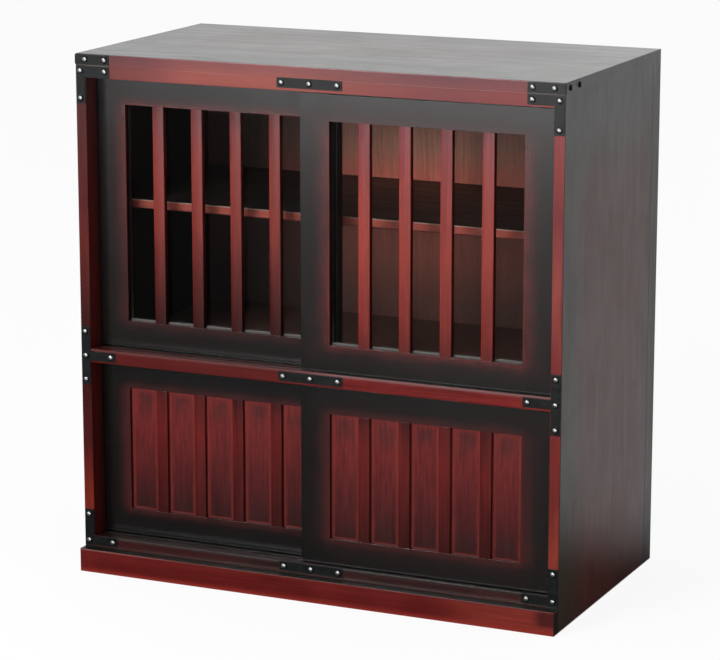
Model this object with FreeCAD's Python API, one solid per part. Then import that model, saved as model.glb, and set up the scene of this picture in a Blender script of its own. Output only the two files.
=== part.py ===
import FreeCAD, Part
import math
import os

# A low display cabinet with two pairs of sliding doors. Glazed lattice doors close
# the upper bay, panelled lattice doors the lower one, and iron straps dress the case.
#
# Frame: +X to the cabinet's right as its front is faced, +Y to its back, +Z up.
# The origin is on the floor, midway across the width and midway through the depth.
# All lengths are in millimetres.

# Case, over all
case_width = 750.0
case_height = 770.0
case_depth = 392.0
plinth_height = 35.0
plinth_thickness = 16.0

# Boards, posts and rails of the case
top_thickness = 16.5
side_thickness = 16.0
post_depth = 32.0
top_rail_height = 18.0
mid_rail_height = 20.0
bottom_rail_height = 17.0
upper_floor_height = 336.0
floor_thickness = 12.0
base_rail_thickness = 16.0
shelf_thickness = 13.0
shelf_setback = 8.0
shelf_clearance = 1.0
shelf_height_share = 0.54
back_thickness = 4.0
back_inset = 4.0
back_lap = 9.0
back_clearance = 0.5
back_foot = 20.0

# Joints between the case's pieces
side_tongue_thickness = 5.0
side_tongue_depth = 5.0
rail_tenon_length = 8.0
rail_tenon_shoulder = 4.0
dado_depth = 5.0
dowel_diameter = 6.0
dowel_length = 28.0
dowel_in_top = 9.0
dowel_clearance = 0.1
dowel_place_shares = (0.15, 0.5, 0.85)

# Shelf pins
pin_diameter = 6.0
pin_in_side = 9.0
pin_reach = 8.0
pin_clearance = 0.1
pin_place_shares = (0.16, 0.84)

# Sliding doors and their tracks
door_setback = 10.0
door_thickness = 18.0
door_track_gap = 5.0
door_overlap = 47.0
door_side_clearance = 0.5
track_rear_margin = 5.0
track_depth_below = 2.5
track_depth_above = 9.0
track_clearance = 0.5
track_seat_gap = 0.3
tongue_thickness = 8.0
tongue_engagement = 5.5
door_gap_below = 1.2
door_gap_above = 3.0

# Frames, bars and fillings of the doors
stile_width = 45.0
door_rail_height = 38.0
door_tenon_length = 30.0
door_tenon_thickness = 6.0
door_tenon_shoulder = 9.0
bar_width = 17.7
bar_count = 4
bar_tenon_length = 6.0
bar_tenon_thickness = 5.0
bar_tenon_shoulder = 3.0
glass_thickness = 3.0
glass_lap = 6.0
glass_clearance = 0.5
bead_thickness = 5.0
panel_setback = 5.0
panel_thickness = 4.0
panel_lap = 6.0
panel_clearance = 0.5

# Iron straps and plates
plate_thickness = 1.0
plate_width = 14.0
plate_reach = 54.5
plate_leg = 54.0
tee_reach = 56.5
tee_leg = 86.0
strap_side_reach = 58.0
strap_bend_radius = 1.5
centre_plate_length = 100.0
centre_plate_offset = -4.0
corner_plate_rise_top = 0.7
corner_plate_rise_bottom = 1.2
centre_plate_rise_top = 2.0
centre_plate_rise_bottom = 1.2

# Domed nails in the straps and plates
nail_head_diameter = 9.0
nail_head_height = 2.8
nail_shank_diameter = 2.0
nail_length = 12.0
nail_clearance = 0.05
nail_from_end = 7.2
nail_from_corner = 16.0

# Screws that hold the back panel
screw_head_diameter = 6.0
screw_head_height = 1.6
screw_shank_diameter = 3.0
screw_length = 14.0
screw_clearance = 0.05
screw_row_shares = (0.06, 0.35, 0.65, 0.94)
screw_column_shares = (0.25, 0.5, 0.75)

# Softened edges
edge_round = 1.0
edge_round_small = 0.5

# Working values
overrun = 1.0
same_place = 0.001

# Planes of the case
half_width = case_width / 2
half_inside = half_width - side_thickness
over_all_depth = case_depth + plinth_thickness
y_plinth = -over_all_depth / 2
y_front = y_plinth + plinth_thickness
y_rear = y_front + case_depth
y_post = y_front + post_depth
y_rear_post = y_rear - post_depth
y_back = y_rear - back_inset - back_thickness
rail_depth = door_setback + 2 * door_thickness + door_track_gap + track_rear_margin
y_rail_rear = y_front + rail_depth
z_under_top = case_height - top_thickness
z_upper_ceiling = z_under_top - top_rail_height
z_lower_ceiling = upper_floor_height - mid_rail_height
z_lower_floor = plinth_height + bottom_rail_height
shelf_top = upper_floor_height + shelf_height_share * (z_upper_ceiling - upper_floor_height)

# Sizes that follow from the ones above
door_width = half_inside + door_overlap / 2 - door_side_clearance
track_width = tongue_thickness + 2 * track_clearance
tongue_below = door_gap_below + track_depth_below - track_seat_gap
tongue_above = door_gap_above + tongue_engagement
bar_thickness = door_thickness - bead_thickness - glass_thickness
bay_gap = (door_width - 2 * stile_width - bar_count * bar_width) / (bar_count + 1)
front_track = y_front + door_setback
rear_track = front_track + door_thickness + door_track_gap

X = FreeCAD.Vector(1, 0, 0)
Y = FreeCAD.Vector(0, 1, 0)
Z = FreeCAD.Vector(0, 0, 1)

nodes = {}


def box(x0, x1, y0, y1, z0, z1):
    """A block between two corners, given in any order along X."""
    low = min(x0, x1)
    return Part.makeBox(abs(x1 - x0), y1 - y0, z1 - z0, FreeCAD.Vector(low, y0, z0))


def rod(diameter, length, start, direction):
    """A round bar that starts at a point and runs along a direction."""
    return Part.makeCylinder(diameter / 2, length, start, direction)


def edges_at(shape, x=None, y=None, z=None):
    """The edges whose ends both lie on the planes that are given."""
    found = []
    for edge in shape.Edges:
        ends = [vertex.Point for vertex in edge.Vertexes]
        if all(
            (x is None or abs(point.x - x) < same_place)
            and (y is None or abs(point.y - y) < same_place)
            and (z is None or abs(point.z - z) < same_place)
            for point in ends
        ):
            found.append(edge)
    return found


def rounded(shape, radius, *places):
    """The shape with a small round on the edges at each of the places."""
    edges = []
    for place in places:
        edges += edges_at(shape, **place)
    return shape.makeFillet(radius, edges)


def less(shape, cutters):
    """The shape with every cutter that reaches it taken away."""
    reached = [cutter for cutter in cutters if shape.BoundBox.intersect(cutter.BoundBox)]
    return shape.cut(reached) if reached else shape


# Tracks: one groove for each door, over the whole length of a rail

def track_grooves(z_low, z_high):
    grooves = []
    for y_door in (front_track, rear_track):
        y0 = y_door + (door_thickness - track_width) / 2
        grooves.append(box(-half_inside, half_inside, y0, y0 + track_width, z_low, z_high))
    return grooves


def grooves_below(z_floor):
    return track_grooves(z_floor - track_depth_below, z_floor + overrun)


def grooves_above(z_ceiling):
    return track_grooves(z_ceiling - overrun, z_ceiling + track_depth_above)


# Rails between the front posts, with a stub tenon at each end

def tenon_block(side, z0, z1):
    """The stub tenon of a case rail, and the mortise that it fills."""
    inner = side * half_inside
    return box(
        inner, inner + side * rail_tenon_length,
        y_front + rail_tenon_shoulder, y_post - side_tongue_depth - rail_tenon_shoulder,
        z0 + rail_tenon_shoulder, z1 - rail_tenon_shoulder,
    )


case_rail_spans = {
    "top_rail": (z_upper_ceiling, z_under_top),
    "mid_rail": (z_lower_ceiling, upper_floor_height),
    "bottom_rail": (plinth_height, z_lower_floor),
}


def case_rail(z0, z1, radius, grooves):
    rail = box(-half_inside, half_inside, y_front, y_rail_rear, z0, z1)
    rail = rounded(rail, radius, {"y": y_front, "z": z0}, {"y": y_front, "z": z1})
    rail = less(rail, grooves)
    return rail.fuse([tenon_block(-1, z0, z1), tenon_block(1, z0, z1)]).removeSplitter()


# Nails: where each one enters, and the way that it goes in

def front_nail(side, from_side, z):
    return (FreeCAD.Vector(side * (half_width - from_side), y_front - plate_thickness, z), Y)


def side_nail(side, from_front, z):
    return (FreeCAD.Vector(side * (half_width + plate_thickness), y_front + from_front, z), -side * X)


post_middle = side_thickness / 2
plate_edge = post_middle - plate_width / 2
z_strap = case_height - top_thickness / 2
z_corner_top = (z_upper_ceiling + z_under_top) / 2 + corner_plate_rise_top
z_tee = (z_lower_ceiling + upper_floor_height) / 2
z_corner_bottom = (plinth_height + z_lower_floor) / 2 + corner_plate_rise_bottom
z_centre_plates = {
    "centre_plate_top": (z_upper_ceiling + z_under_top) / 2 + centre_plate_rise_top,
    "centre_plate_mid": z_tee,
    "centre_plate_bottom": (plinth_height + z_lower_floor) / 2 + centre_plate_rise_bottom,
}
z_leg_end_top = z_corner_top + plate_width / 2 - plate_leg
z_leg_end_bottom = z_corner_bottom - plate_width / 2 + plate_leg

nail_places = []
for side in (-1, 1):
    nail_places += [
        front_nail(side, nail_from_corner, z_strap),
        front_nail(side, plate_reach - nail_from_end, z_strap),
        side_nail(side, nail_from_corner, z_strap),
        side_nail(side, strap_side_reach - nail_from_end, z_strap),
        front_nail(side, post_middle, z_corner_top),
        front_nail(side, plate_reach - nail_from_end, z_corner_top),
        front_nail(side, post_middle, z_leg_end_top + nail_from_end),
        front_nail(side, post_middle, z_tee),
        front_nail(side, tee_reach - nail_from_end, z_tee),
        front_nail(side, post_middle, z_tee + tee_leg / 2 - nail_from_end),
        front_nail(side, post_middle, z_tee - tee_leg / 2 + nail_from_end),
        front_nail(side, post_middle, z_corner_bottom),
        front_nail(side, plate_reach - nail_from_end, z_corner_bottom),
        front_nail(side, post_middle, z_leg_end_bottom - nail_from_end),
    ]
for z_plate in z_centre_plates.values():
    for reach in (-1, 0, 1):
        x_nail = centre_plate_offset + reach * (centre_plate_length / 2 - nail_from_end)
        nail_places.append((FreeCAD.Vector(x_nail, y_front - plate_thickness, z_plate), Y))

nail_holes = [
    rod(nail_shank_diameter + 2 * nail_clearance, nail_length + overrun, start - way * overrun, way)
    for start, way in nail_places
]


def nail(start, way):
    """A domed head that sits on the plate, and the shank behind it."""
    base = nail_head_diameter / 2
    ball = (base ** 2 + nail_head_height ** 2) / (2 * nail_head_height)
    rim_angle = math.degrees(math.asin((ball - nail_head_height) / ball))
    head = Part.makeSphere(ball, start + way * (ball - nail_head_height), -way, rim_angle, 90, 360)
    return head.fuse(rod(nail_shank_diameter, nail_length, start, way)).removeSplitter()


# Screws: through the back panel into the posts, the boards and the lower rail

back_low = back_foot
back_high = z_under_top + back_lap - back_clearance
x_screw = half_inside + back_lap / 2
screw_places = []
for side in (-1, 1):
    for share in screw_row_shares:
        z_screw = back_low + share * (back_high - back_low)
        screw_places.append(FreeCAD.Vector(side * x_screw, y_back + back_thickness, z_screw))
for share in screw_column_shares:
    for z_board in (z_lower_floor, upper_floor_height):
        x_board = -half_inside + share * 2 * half_inside
        z_screw = z_board - floor_thickness / 2
        screw_places.append(FreeCAD.Vector(x_board, y_back + back_thickness, z_screw))

screw_holes = [
    rod(screw_shank_diameter + 2 * screw_clearance, screw_length + overrun, start + Y * overrun, -Y)
    for start in screw_places
]


def screw(start):
    head = rod(screw_head_diameter, screw_head_height, start, Y)
    return head.fuse(rod(screw_shank_diameter, screw_length, start, -Y)).removeSplitter()


# Dowels between each side and the top board

dowel_starts = []
for side in (-1, 1):
    for share in dowel_place_shares:
        y_dowel = y_post + share * (y_rear_post - y_post)
        z_dowel = z_under_top + dowel_in_top - dowel_length
        dowel_starts.append(FreeCAD.Vector(side * (half_width - post_middle), y_dowel, z_dowel))

dowel_holes = [
    rod(dowel_diameter + 2 * dowel_clearance, dowel_length, start, Z) for start in dowel_starts
]

# Pins under the shelf

shelf_low = shelf_top - shelf_thickness
shelf_front = y_rail_rear + shelf_setback
shelf_rear = y_back - shelf_clearance


def pin_rod(side, share, diameter, reach):
    """A rod that starts inside a side panel and reaches into the bay."""
    start_x = side * (half_inside + pin_in_side)
    y_pin = shelf_front + share * (shelf_rear - shelf_front)
    start = FreeCAD.Vector(start_x, y_pin, shelf_low - pin_diameter / 2)
    return rod(diameter, pin_in_side + reach, start, -side * X)


pin_sites = [(side, share) for side in (-1, 1) for share in pin_place_shares]
pins = [pin_rod(side, share, pin_diameter, pin_reach) for side, share in pin_sites]
pin_holes = [
    pin_rod(side, share, pin_diameter + 2 * pin_clearance, pin_reach) for side, share in pin_sites
]

# Case: the boards that run from side to side

back_rebate = box(
    -half_inside - back_lap, half_inside + back_lap, y_back, y_rear + overrun,
    -overrun, z_under_top + back_lap,
)


def floor_board(z_top):
    """A board let into the sides, level with the rail in front of it."""
    reach = half_inside + dado_depth
    return box(-reach, reach, y_rail_rear, y_back, z_top - floor_thickness, z_top)


floor_boards = {
    "mid_board": floor_board(upper_floor_height),
    "bottom_board": floor_board(z_lower_floor),
}

top_board = box(-half_width, half_width, y_front, y_rear, z_under_top, case_height)
top_board = rounded(
    top_board, edge_round,
    {"y": y_front, "z": case_height}, {"x": -half_width, "z": case_height},
    {"x": half_width, "z": case_height}, {"y": y_rear, "z": case_height},
    {"x": -half_width, "y": y_front}, {"x": half_width, "y": y_front},
)
nodes["top_board"] = less(top_board, [back_rebate] + nail_holes + dowel_holes)

rail_grooves = {
    "top_rail": grooves_above(z_upper_ceiling),
    "mid_rail": grooves_below(upper_floor_height) + grooves_above(z_lower_ceiling),
    "bottom_rail": grooves_below(z_lower_floor),
}
rail_rounds = {"top_rail": edge_round_small, "mid_rail": edge_round, "bottom_rail": edge_round}
for name, (z0, z1) in case_rail_spans.items():
    rail = case_rail(z0, z1, rail_rounds[name], rail_grooves[name])
    nodes[name] = less(rail, nail_holes)

for name, board in floor_boards.items():
    nodes[name] = less(board, screw_holes)

nodes["shelf"] = rounded(
    box(
        -half_inside + shelf_clearance, half_inside - shelf_clearance,
        shelf_front, shelf_rear, shelf_low, shelf_top,
    ),
    edge_round, {"y": shelf_front, "z": shelf_low}, {"y": shelf_front, "z": shelf_top},
)
nodes["shelf_pins"] = Part.makeCompound(pins)

back_half = half_inside + back_lap - back_clearance
back_panel = box(-back_half, back_half, y_back, y_back + back_thickness, back_low, back_high)
nodes["back_panel"] = less(back_panel, screw_holes)

plinth = box(-half_width, half_width, y_plinth, y_front, 0, plinth_height)
nodes["plinth_front"] = rounded(
    plinth, edge_round,
    {"y": y_plinth, "z": plinth_height}, {"x": -half_width, "y": y_plinth},
    {"x": half_width, "y": y_plinth}, {"x": -half_width, "z": plinth_height},
    {"x": half_width, "z": plinth_height},
)
nodes["base_rail_front"] = box(
    -half_inside, half_inside, y_front, y_front + base_rail_thickness, 0, plinth_height
)
base_rail_rear = box(
    -half_inside, half_inside, y_back - base_rail_thickness, y_back,
    0, z_lower_floor - floor_thickness,
)
nodes["base_rail_rear"] = base_rail_rear

# Case: the posts and panels of the two sides

dados = [
    box(
        -half_inside - dado_depth, half_inside + dado_depth, y_rail_rear, y_back,
        z_top - floor_thickness, z_top,
    )
    for z_top in (upper_floor_height, z_lower_floor)
]


def side_tongue(side, y0, y1):
    """The tongue on a side panel's edge, and the groove in the post that takes it."""
    x0 = side * (half_width - post_middle - side_tongue_thickness / 2)
    x1 = side * (half_width - post_middle + side_tongue_thickness / 2)
    return box(x0, x1, y0, y1, 0, z_under_top)


for side, hand in ((-1, "left"), (1, "right")):
    outer = side * half_width
    inner = side * half_inside
    front_tongue = side_tongue(side, y_post - side_tongue_depth, y_post)
    rear_tongue = side_tongue(side, y_rear_post, y_rear_post + side_tongue_depth)

    front_post = box(inner, outer, y_front, y_post, 0, z_under_top)
    front_post = rounded(front_post, edge_round, {"x": outer, "y": y_front})
    front_post = rounded(front_post, edge_round_small, {"x": inner, "y": y_front})
    mortises = [tenon_block(side, z0, z1) for z0, z1 in case_rail_spans.values()]
    nodes["front_post_" + hand] = less(front_post, mortises + [front_tongue] + nail_holes)

    panel = box(inner, outer, y_post, y_rear_post, 0, z_under_top)
    panel = rounded(panel, edge_round_small, {"x": outer, "y": y_rear_post})
    panel = panel.fuse([front_tongue, rear_tongue]).removeSplitter()
    nodes["side_panel_" + hand] = less(panel, dados + dowel_holes + pin_holes + nail_holes)

    rear_post = box(inner, outer, y_rear_post, y_rear, 0, z_under_top)
    rear_post = rounded(rear_post, edge_round_small, {"x": outer, "y": y_rear_post})
    nodes["rear_post_" + hand] = less(
        rear_post, dados + [back_rebate, rear_tongue] + screw_holes + pin_holes
    )

nodes["case_dowels"] = Part.makeCompound(
    [rod(dowel_diameter, dowel_length, start, Z) for start in dowel_starts]
)
nodes["back_screws"] = Part.makeCompound([screw(start) for start in screw_places])

# Iron straps and plates

y_plate = y_front - plate_thickness


def front_strip(side, from_side0, from_side1, z0, z1):
    """A flat strip on the front, measured in from one side of the case."""
    x0 = side * (half_width - from_side0)
    x1 = side * (half_width - from_side1)
    return box(x0, x1, y_plate, y_front, z0, z1)


def corner_strap(side):
    z0 = z_strap - plate_width / 2
    z1 = z_strap + plate_width / 2
    front_leg = front_strip(side, -plate_thickness, plate_reach, z0, z1)
    outside = side * (half_width + plate_thickness)
    side_leg = box(side * half_width, outside, y_plate, y_front + strap_side_reach, z0, z1)
    strap = front_leg.fuse(side_leg).removeSplitter()
    return rounded(strap, strap_bend_radius, {"x": outside, "y": y_plate})


def corner_plate(side, z_arm, z_leg_end):
    arm_low = z_arm - plate_width / 2
    arm_high = z_arm + plate_width / 2
    arm = front_strip(side, plate_edge, plate_reach, arm_low, arm_high)
    leg = front_strip(
        side, plate_edge, plate_edge + plate_width, min(arm_low, z_leg_end), max(arm_high, z_leg_end)
    )
    return arm.fuse(leg).removeSplitter()


def tee_plate(side):
    leg = front_strip(
        side, plate_edge, plate_edge + plate_width, z_tee - tee_leg / 2, z_tee + tee_leg / 2
    )
    arm = front_strip(side, plate_edge, tee_reach, z_tee - plate_width / 2, z_tee + plate_width / 2)
    return leg.fuse(arm).removeSplitter()


for side, hand in ((-1, "left"), (1, "right")):
    nodes["corner_strap_" + hand] = less(corner_strap(side), nail_holes)
    nodes["corner_plate_top_" + hand] = less(
        corner_plate(side, z_corner_top, z_leg_end_top), nail_holes
    )
    nodes["tee_plate_" + hand] = less(tee_plate(side), nail_holes)
    nodes["corner_plate_bottom_" + hand] = less(
        corner_plate(side, z_corner_bottom, z_leg_end_bottom), nail_holes
    )

for name, z_plate in z_centre_plates.items():
    plate = box(
        centre_plate_offset - centre_plate_length / 2, centre_plate_offset + centre_plate_length / 2,
        y_plate, y_front, z_plate - plate_width / 2, z_plate + plate_width / 2,
    )
    nodes[name] = less(plate, nail_holes)

nodes["nails"] = Part.makeCompound([nail(start, way) for start, way in nail_places])


# Sliding doors

def tongue(x0, x1, y_door, z0, z1):
    y0 = y_door + (door_thickness - tongue_thickness) / 2
    return box(x0, x1, y0, y0 + tongue_thickness, z0, z1)


def door(name, x_left, y_door, z_floor, z_ceiling, glazed):
    """A lattice door: two stiles, two rails, upright bars and what fills the frame."""
    x_right = x_left + door_width
    z_low = z_floor + door_gap_below
    z_high = z_ceiling - door_gap_above
    x_open = (x_left + stile_width, x_right - stile_width)
    z_open = (z_low + door_rail_height, z_high - door_rail_height)
    y_door_rear = y_door + door_thickness

    if glazed:
        y_fill = y_door + bar_thickness
        fill_thickness = glass_thickness
        lap = glass_lap
        clearance = glass_clearance
        y_seat_rear = y_door_rear + overrun
    else:
        y_fill = y_door + panel_setback
        fill_thickness = panel_thickness
        lap = panel_lap
        clearance = panel_clearance
        y_seat_rear = y_fill + panel_thickness
    seat = box(x_open[0] - lap, x_open[1] + lap, y_fill, y_seat_rear, z_open[0] - lap, z_open[1] + lap)

    tenons = []
    y_tenon = y_door + (door_thickness - door_tenon_thickness) / 2
    for z0 in (z_low, z_open[1]):
        for x0, x1 in ((x_open[0] - door_tenon_length, x_open[0]),
                       (x_open[1], x_open[1] + door_tenon_length)):
            tenons.append(box(
                x0, x1, y_tenon, y_tenon + door_tenon_thickness,
                z0 + door_tenon_shoulder, z0 + door_rail_height - door_tenon_shoulder,
            ))

    bar_sites = [
        x_open[0] + bay_gap + step * (bay_gap + bar_width) for step in range(bar_count)
    ]
    y_bar_rear = y_fill
    bars = [box(x0, x0 + bar_width, y_door, y_bar_rear, *z_open) for x0 in bar_sites]
    bar_ends = []
    if glazed:
        y0 = y_door + (bar_thickness - bar_tenon_thickness) / 2
        bar_ends = [
            box(
                x0 + bar_tenon_shoulder, x0 + bar_width - bar_tenon_shoulder,
                y0, y0 + bar_tenon_thickness,
                z_open[0] - bar_tenon_length, z_open[1] + bar_tenon_length,
            )
            for x0 in bar_sites
        ]
        bars = [bar.fuse(end).removeSplitter() for bar, end in zip(bars, bar_ends)]
    nodes[name + "_bars"] = Part.makeCompound(bars)

    for hand, x0, x_edge in (("left", x_left, x_left), ("right", x_open[1], x_right)):
        x1 = x0 + stile_width
        stile = box(x0, x1, y_door, y_door_rear, z_low, z_high)
        stile = rounded(stile, edge_round_small, {"x": x_edge, "y": y_door})
        stile = stile.fuse([
            tongue(x0, x1, y_door, z_low - tongue_below, z_low),
            tongue(x0, x1, y_door, z_high, z_high + tongue_above),
        ]).removeSplitter()
        nodes[name + "_stile_" + hand] = less(stile, tenons + [seat])

    for place, z0, z1, z_tongue0, z_tongue1 in (
        ("bottom", z_low, z_open[0], z_low - tongue_below, z_low),
        ("top", z_open[1], z_high, z_high, z_high + tongue_above),
    ):
        rail = box(*x_open, y_door, y_door_rear, z0, z1)
        rail = less(rail, bar_ends + [seat])
        ends = [tenon for tenon in tenons if z0 < tenon.BoundBox.Center.z < z1]
        rail = rail.fuse(ends + [tongue(*x_open, y_door, z_tongue0, z_tongue1)]).removeSplitter()
        nodes[name + "_rail_" + place] = rail

    reach = lap - clearance
    filling = box(
        x_open[0] - reach, x_open[1] + reach, y_fill, y_fill + fill_thickness,
        z_open[0] - reach, z_open[1] + reach,
    )
    nodes[name + ("_glass" if glazed else "_panel")] = filling

    if glazed:
        y_bead = y_fill + glass_thickness
        uprights = [
            box(x0, x0 + lap, y_bead, y_door_rear, z_open[0] - lap, z_open[1] + lap)
            for x0 in (x_open[0] - lap, x_open[1])
        ]
        levels = [
            box(*x_open, y_bead, y_door_rear, z0, z0 + lap) for z0 in (z_open[0] - lap, z_open[1])
        ]
        nodes[name + "_beads"] = Part.makeCompound(uprights + levels)


x_right_door = half_inside - door_side_clearance - door_width
x_left_door = -half_inside + door_side_clearance
for name, z_floor, z_ceiling, glazed in (
    ("upper", upper_floor_height, z_upper_ceiling, True),
    ("lower", z_lower_floor, z_lower_ceiling, False),
):
    door(name + "_left", x_left_door, rear_track, z_floor, z_ceiling, glazed)
    door(name + "_right", x_right_door, front_track, z_floor, z_ceiling, glazed)

# Each sub-part goes to a file of its own

os.makedirs("parts", exist_ok=True)
for name, shape in nodes.items():
    shape.exportStep("parts/" + name + ".step")

travel = 2 * half_inside - door_width - 2 * door_side_clearance
print("sub-parts:", len(nodes))
print("door width %.2f, slide travel %.2f" % (door_width, travel))
print("gap between door bars %.2f" % bay_gap)
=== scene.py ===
# %% [markdown]
# # A lacquered display cabinet, dressed around its solid model
# The real object is a low cabinet of red and black lacquered wood. Two pairs of lattice doors
# slide in its front, glazed above and panelled below, and black iron straps with domed nails
# hold its corners. The solid model gives every board its size and place. This lesson gives the
# boards their finish, makes the small repeated pieces, and sets up a plain studio around them.
# Lengths are in metres. X runs to the right, Y to the back and Z upwards.

# %% Load the solid model
import bpy
import bmesh
import math
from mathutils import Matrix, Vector


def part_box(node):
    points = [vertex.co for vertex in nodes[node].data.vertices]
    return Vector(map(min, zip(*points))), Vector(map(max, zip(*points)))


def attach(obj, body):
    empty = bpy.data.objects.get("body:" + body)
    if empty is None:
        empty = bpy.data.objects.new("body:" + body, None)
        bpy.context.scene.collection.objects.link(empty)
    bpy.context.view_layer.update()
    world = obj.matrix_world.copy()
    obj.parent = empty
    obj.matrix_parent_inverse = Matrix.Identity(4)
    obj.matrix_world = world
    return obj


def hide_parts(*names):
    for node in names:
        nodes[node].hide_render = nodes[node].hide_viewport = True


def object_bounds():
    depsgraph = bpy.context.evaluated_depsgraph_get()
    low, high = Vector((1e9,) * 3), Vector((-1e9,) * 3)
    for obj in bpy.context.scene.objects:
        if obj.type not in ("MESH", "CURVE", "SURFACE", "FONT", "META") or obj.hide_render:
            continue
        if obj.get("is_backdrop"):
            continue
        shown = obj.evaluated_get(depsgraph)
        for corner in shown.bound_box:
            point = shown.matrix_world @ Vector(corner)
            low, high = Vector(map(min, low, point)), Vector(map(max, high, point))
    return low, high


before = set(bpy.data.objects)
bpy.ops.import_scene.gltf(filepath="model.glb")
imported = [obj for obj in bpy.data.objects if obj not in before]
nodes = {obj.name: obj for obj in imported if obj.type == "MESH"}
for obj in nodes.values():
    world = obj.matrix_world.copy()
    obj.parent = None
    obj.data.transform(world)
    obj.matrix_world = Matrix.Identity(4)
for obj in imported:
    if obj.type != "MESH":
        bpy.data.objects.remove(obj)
scene = bpy.context.scene
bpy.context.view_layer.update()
print("pieces of the solid model:", len(nodes))

# %% [markdown]
# ## The camera
# The photograph was taken from a little to the right of the cabinet and from slightly above it,
# with a long lens from over four metres away. A camera object could be aimed with a constraint,
# but a fixed turn is simpler to read: first the angle round the cabinet, then the angle down.
# The lens isn't shifted, so that the other views stay centred too.

# %% Camera
LENS_MM = 150.0
FILM_MM = 36.0
CAMERA_PLACE = (1.7635, -3.9227, 1.3268)
TURN_DEGREES = 24.35
DIP_DEGREES = 12.68


def toward(turn, dip):
    """The direction of a line of sight from its angle round the cabinet and its angle down."""
    a, e = math.radians(turn), math.radians(dip)
    return Vector((-math.sin(a) * math.cos(e), math.cos(a) * math.cos(e), -math.sin(e)))


camera = bpy.data.objects.new("studio_camera", bpy.data.cameras.new("studio_camera"))
scene.collection.objects.link(camera)
camera.data.lens = LENS_MM
camera.data.sensor_width = FILM_MM
camera.location = CAMERA_PLACE
camera.rotation_euler = toward(TURN_DEGREES, DIP_DEGREES).to_track_quat("-Z", "Y").to_euler()
scene.camera = camera
scene.view_settings.view_transform = "Standard"
print("camera distance in m:", round(camera.location.length, 2))

# %% [markdown]
# ## Wiring nodes with less typing
# A material is a tree of nodes, and each line of it makes a node, fills its inputs and passes
# its output on. These few helpers do that, so that the recipes below read like a list of steps.
# An input may be given a plain value or another node's output.


# %% Helpers for node trees
class Wiring:
    """A node tree under construction. Most of its calls add one node and return its output."""

    def __init__(self, tree):
        self.tree = tree

    def feed(self, socket, value):
        """Links an output to a socket, or writes a plain value into it."""
        if isinstance(value, bpy.types.NodeSocket):
            self.tree.links.new(value, socket)
        elif value is not None:
            socket.default_value = value

    def add(self, kind, inputs=None, **settings):
        """A new node, with its settings and inputs filled in."""
        made = self.tree.nodes.new(kind)
        for name, value in settings.items():
            setattr(made, name, value)
        for key, value in (inputs or {}).items():
            self.feed(made.inputs[key], value)
        return made

    def take(self, kind, inputs=None, **settings):
        """The first output of a new node."""
        return self.add(kind, inputs, **settings).outputs[0]

    def math(self, operation, a, b=None, clamp=False):
        return self.take("ShaderNodeMath", {0: a, 1: b}, operation=operation, use_clamp=clamp)

    def plus(self, a, b, clamp=False):
        return self.math("ADD", a, b, clamp)

    def minus(self, a, b):
        return self.math("SUBTRACT", a, b)

    def times(self, a, b):
        return self.math("MULTIPLY", a, b)

    def larger(self, a, b):
        return self.math("MAXIMUM", a, b)

    def smaller(self, a, b):
        return self.math("MINIMUM", a, b)

    def unsigned(self, a):
        return self.math("ABSOLUTE", a)

    def between(self, value, low, high):
        """1 where the value lies between low and high, 0 elsewhere."""
        return self.times(self.math("GREATER_THAN", value, low), self.math("LESS_THAN", value, high))

    def vector(self, operation, a, b=None):
        made = self.add("ShaderNodeVectorMath", {0: a, 1: b}, operation=operation)
        return made.outputs["Value" if operation in ("LENGTH", "DOT_PRODUCT") else "Vector"]

    def fade(self, value, start, end, low=0.0, high=1.0):
        """Goes smoothly from low to high while value goes from start to end."""
        inputs = {"Value": value, "From Min": start, "From Max": end, "To Min": low, "To Max": high}
        return self.take("ShaderNodeMapRange", inputs, interpolation_type="SMOOTHSTEP")

    def mix(self, share, a, b, blend="MIX"):
        """A colour between a and b, b where share is 1. The node's inputs 6 and 7 are its colours."""
        made = self.add("ShaderNodeMix", data_type="RGBA", blend_type=blend)
        for key, value in ((0, share), (6, a), (7, b)):
            ready = isinstance(value, (float, bpy.types.NodeSocket))
            self.feed(made.inputs[key], value if ready else (*value, 1.0))
        return made.outputs[2]

    def tint(self, colour, by):
        """A colour with its red, green and blue each multiplied."""
        return self.mix(1.0, colour, by, "MULTIPLY")

    def streaked(self, grain, colour, dark, light):
        """A colour that the grain makes darker in its streaks and lighter between them."""
        return self.mix(grain, self.tint(colour, dark), self.tint(colour, light))

    def along(self, value, stops):
        """A colour that changes evenly between the stops, each of which is a value and a colour."""
        made = self.add("ShaderNodeValToRGB")
        first = stops[0][0]
        span = stops[-1][0] - first
        ramp = made.color_ramp.elements
        for _ in stops[2:]:
            ramp.new(0.5)
        for stop, (at, colour) in zip(ramp, stops):
            stop.position = (at - first) / span
            stop.color = (*colour, 1.0)
        self.feed(made.inputs[0], self.math("DIVIDE", self.minus(value, first), span))
        return made.outputs[0]

    def noise(self, place, scale, detail=3.0, roughness=0.5):
        inputs = {"Vector": place, "Scale": scale, "Detail": detail, "Roughness": roughness}
        return self.take("ShaderNodeTexNoise", inputs)

    def swing(self, place, scale, reach):
        """An uneven shift to either side, with this reach in all."""
        return self.times(self.minus(self.noise(place, scale), 0.5), reach)

    def split(self, place):
        return list(self.add("ShaderNodeSeparateXYZ", {0: place}).outputs)

    def join(self, x=0.0, y=0.0, z=0.0):
        return self.take("ShaderNodeCombineXYZ", {0: x, 1: y, 2: z})

    def group(self, group, inputs):
        return self.add("ShaderNodeGroup", inputs, node_tree=group).outputs

    def place(self):
        """The point on the piece that is being shaded, in metres."""
        return self.add("ShaderNodeTexCoord").outputs["Object"]

    def facing(self):
        """The way that the flat face looks, before any rounding."""
        return self.add("ShaderNodeNewGeometry").outputs["True Normal"]

    def show(self, surface):
        self.add("ShaderNodeOutputMaterial", {"Surface": surface})


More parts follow.
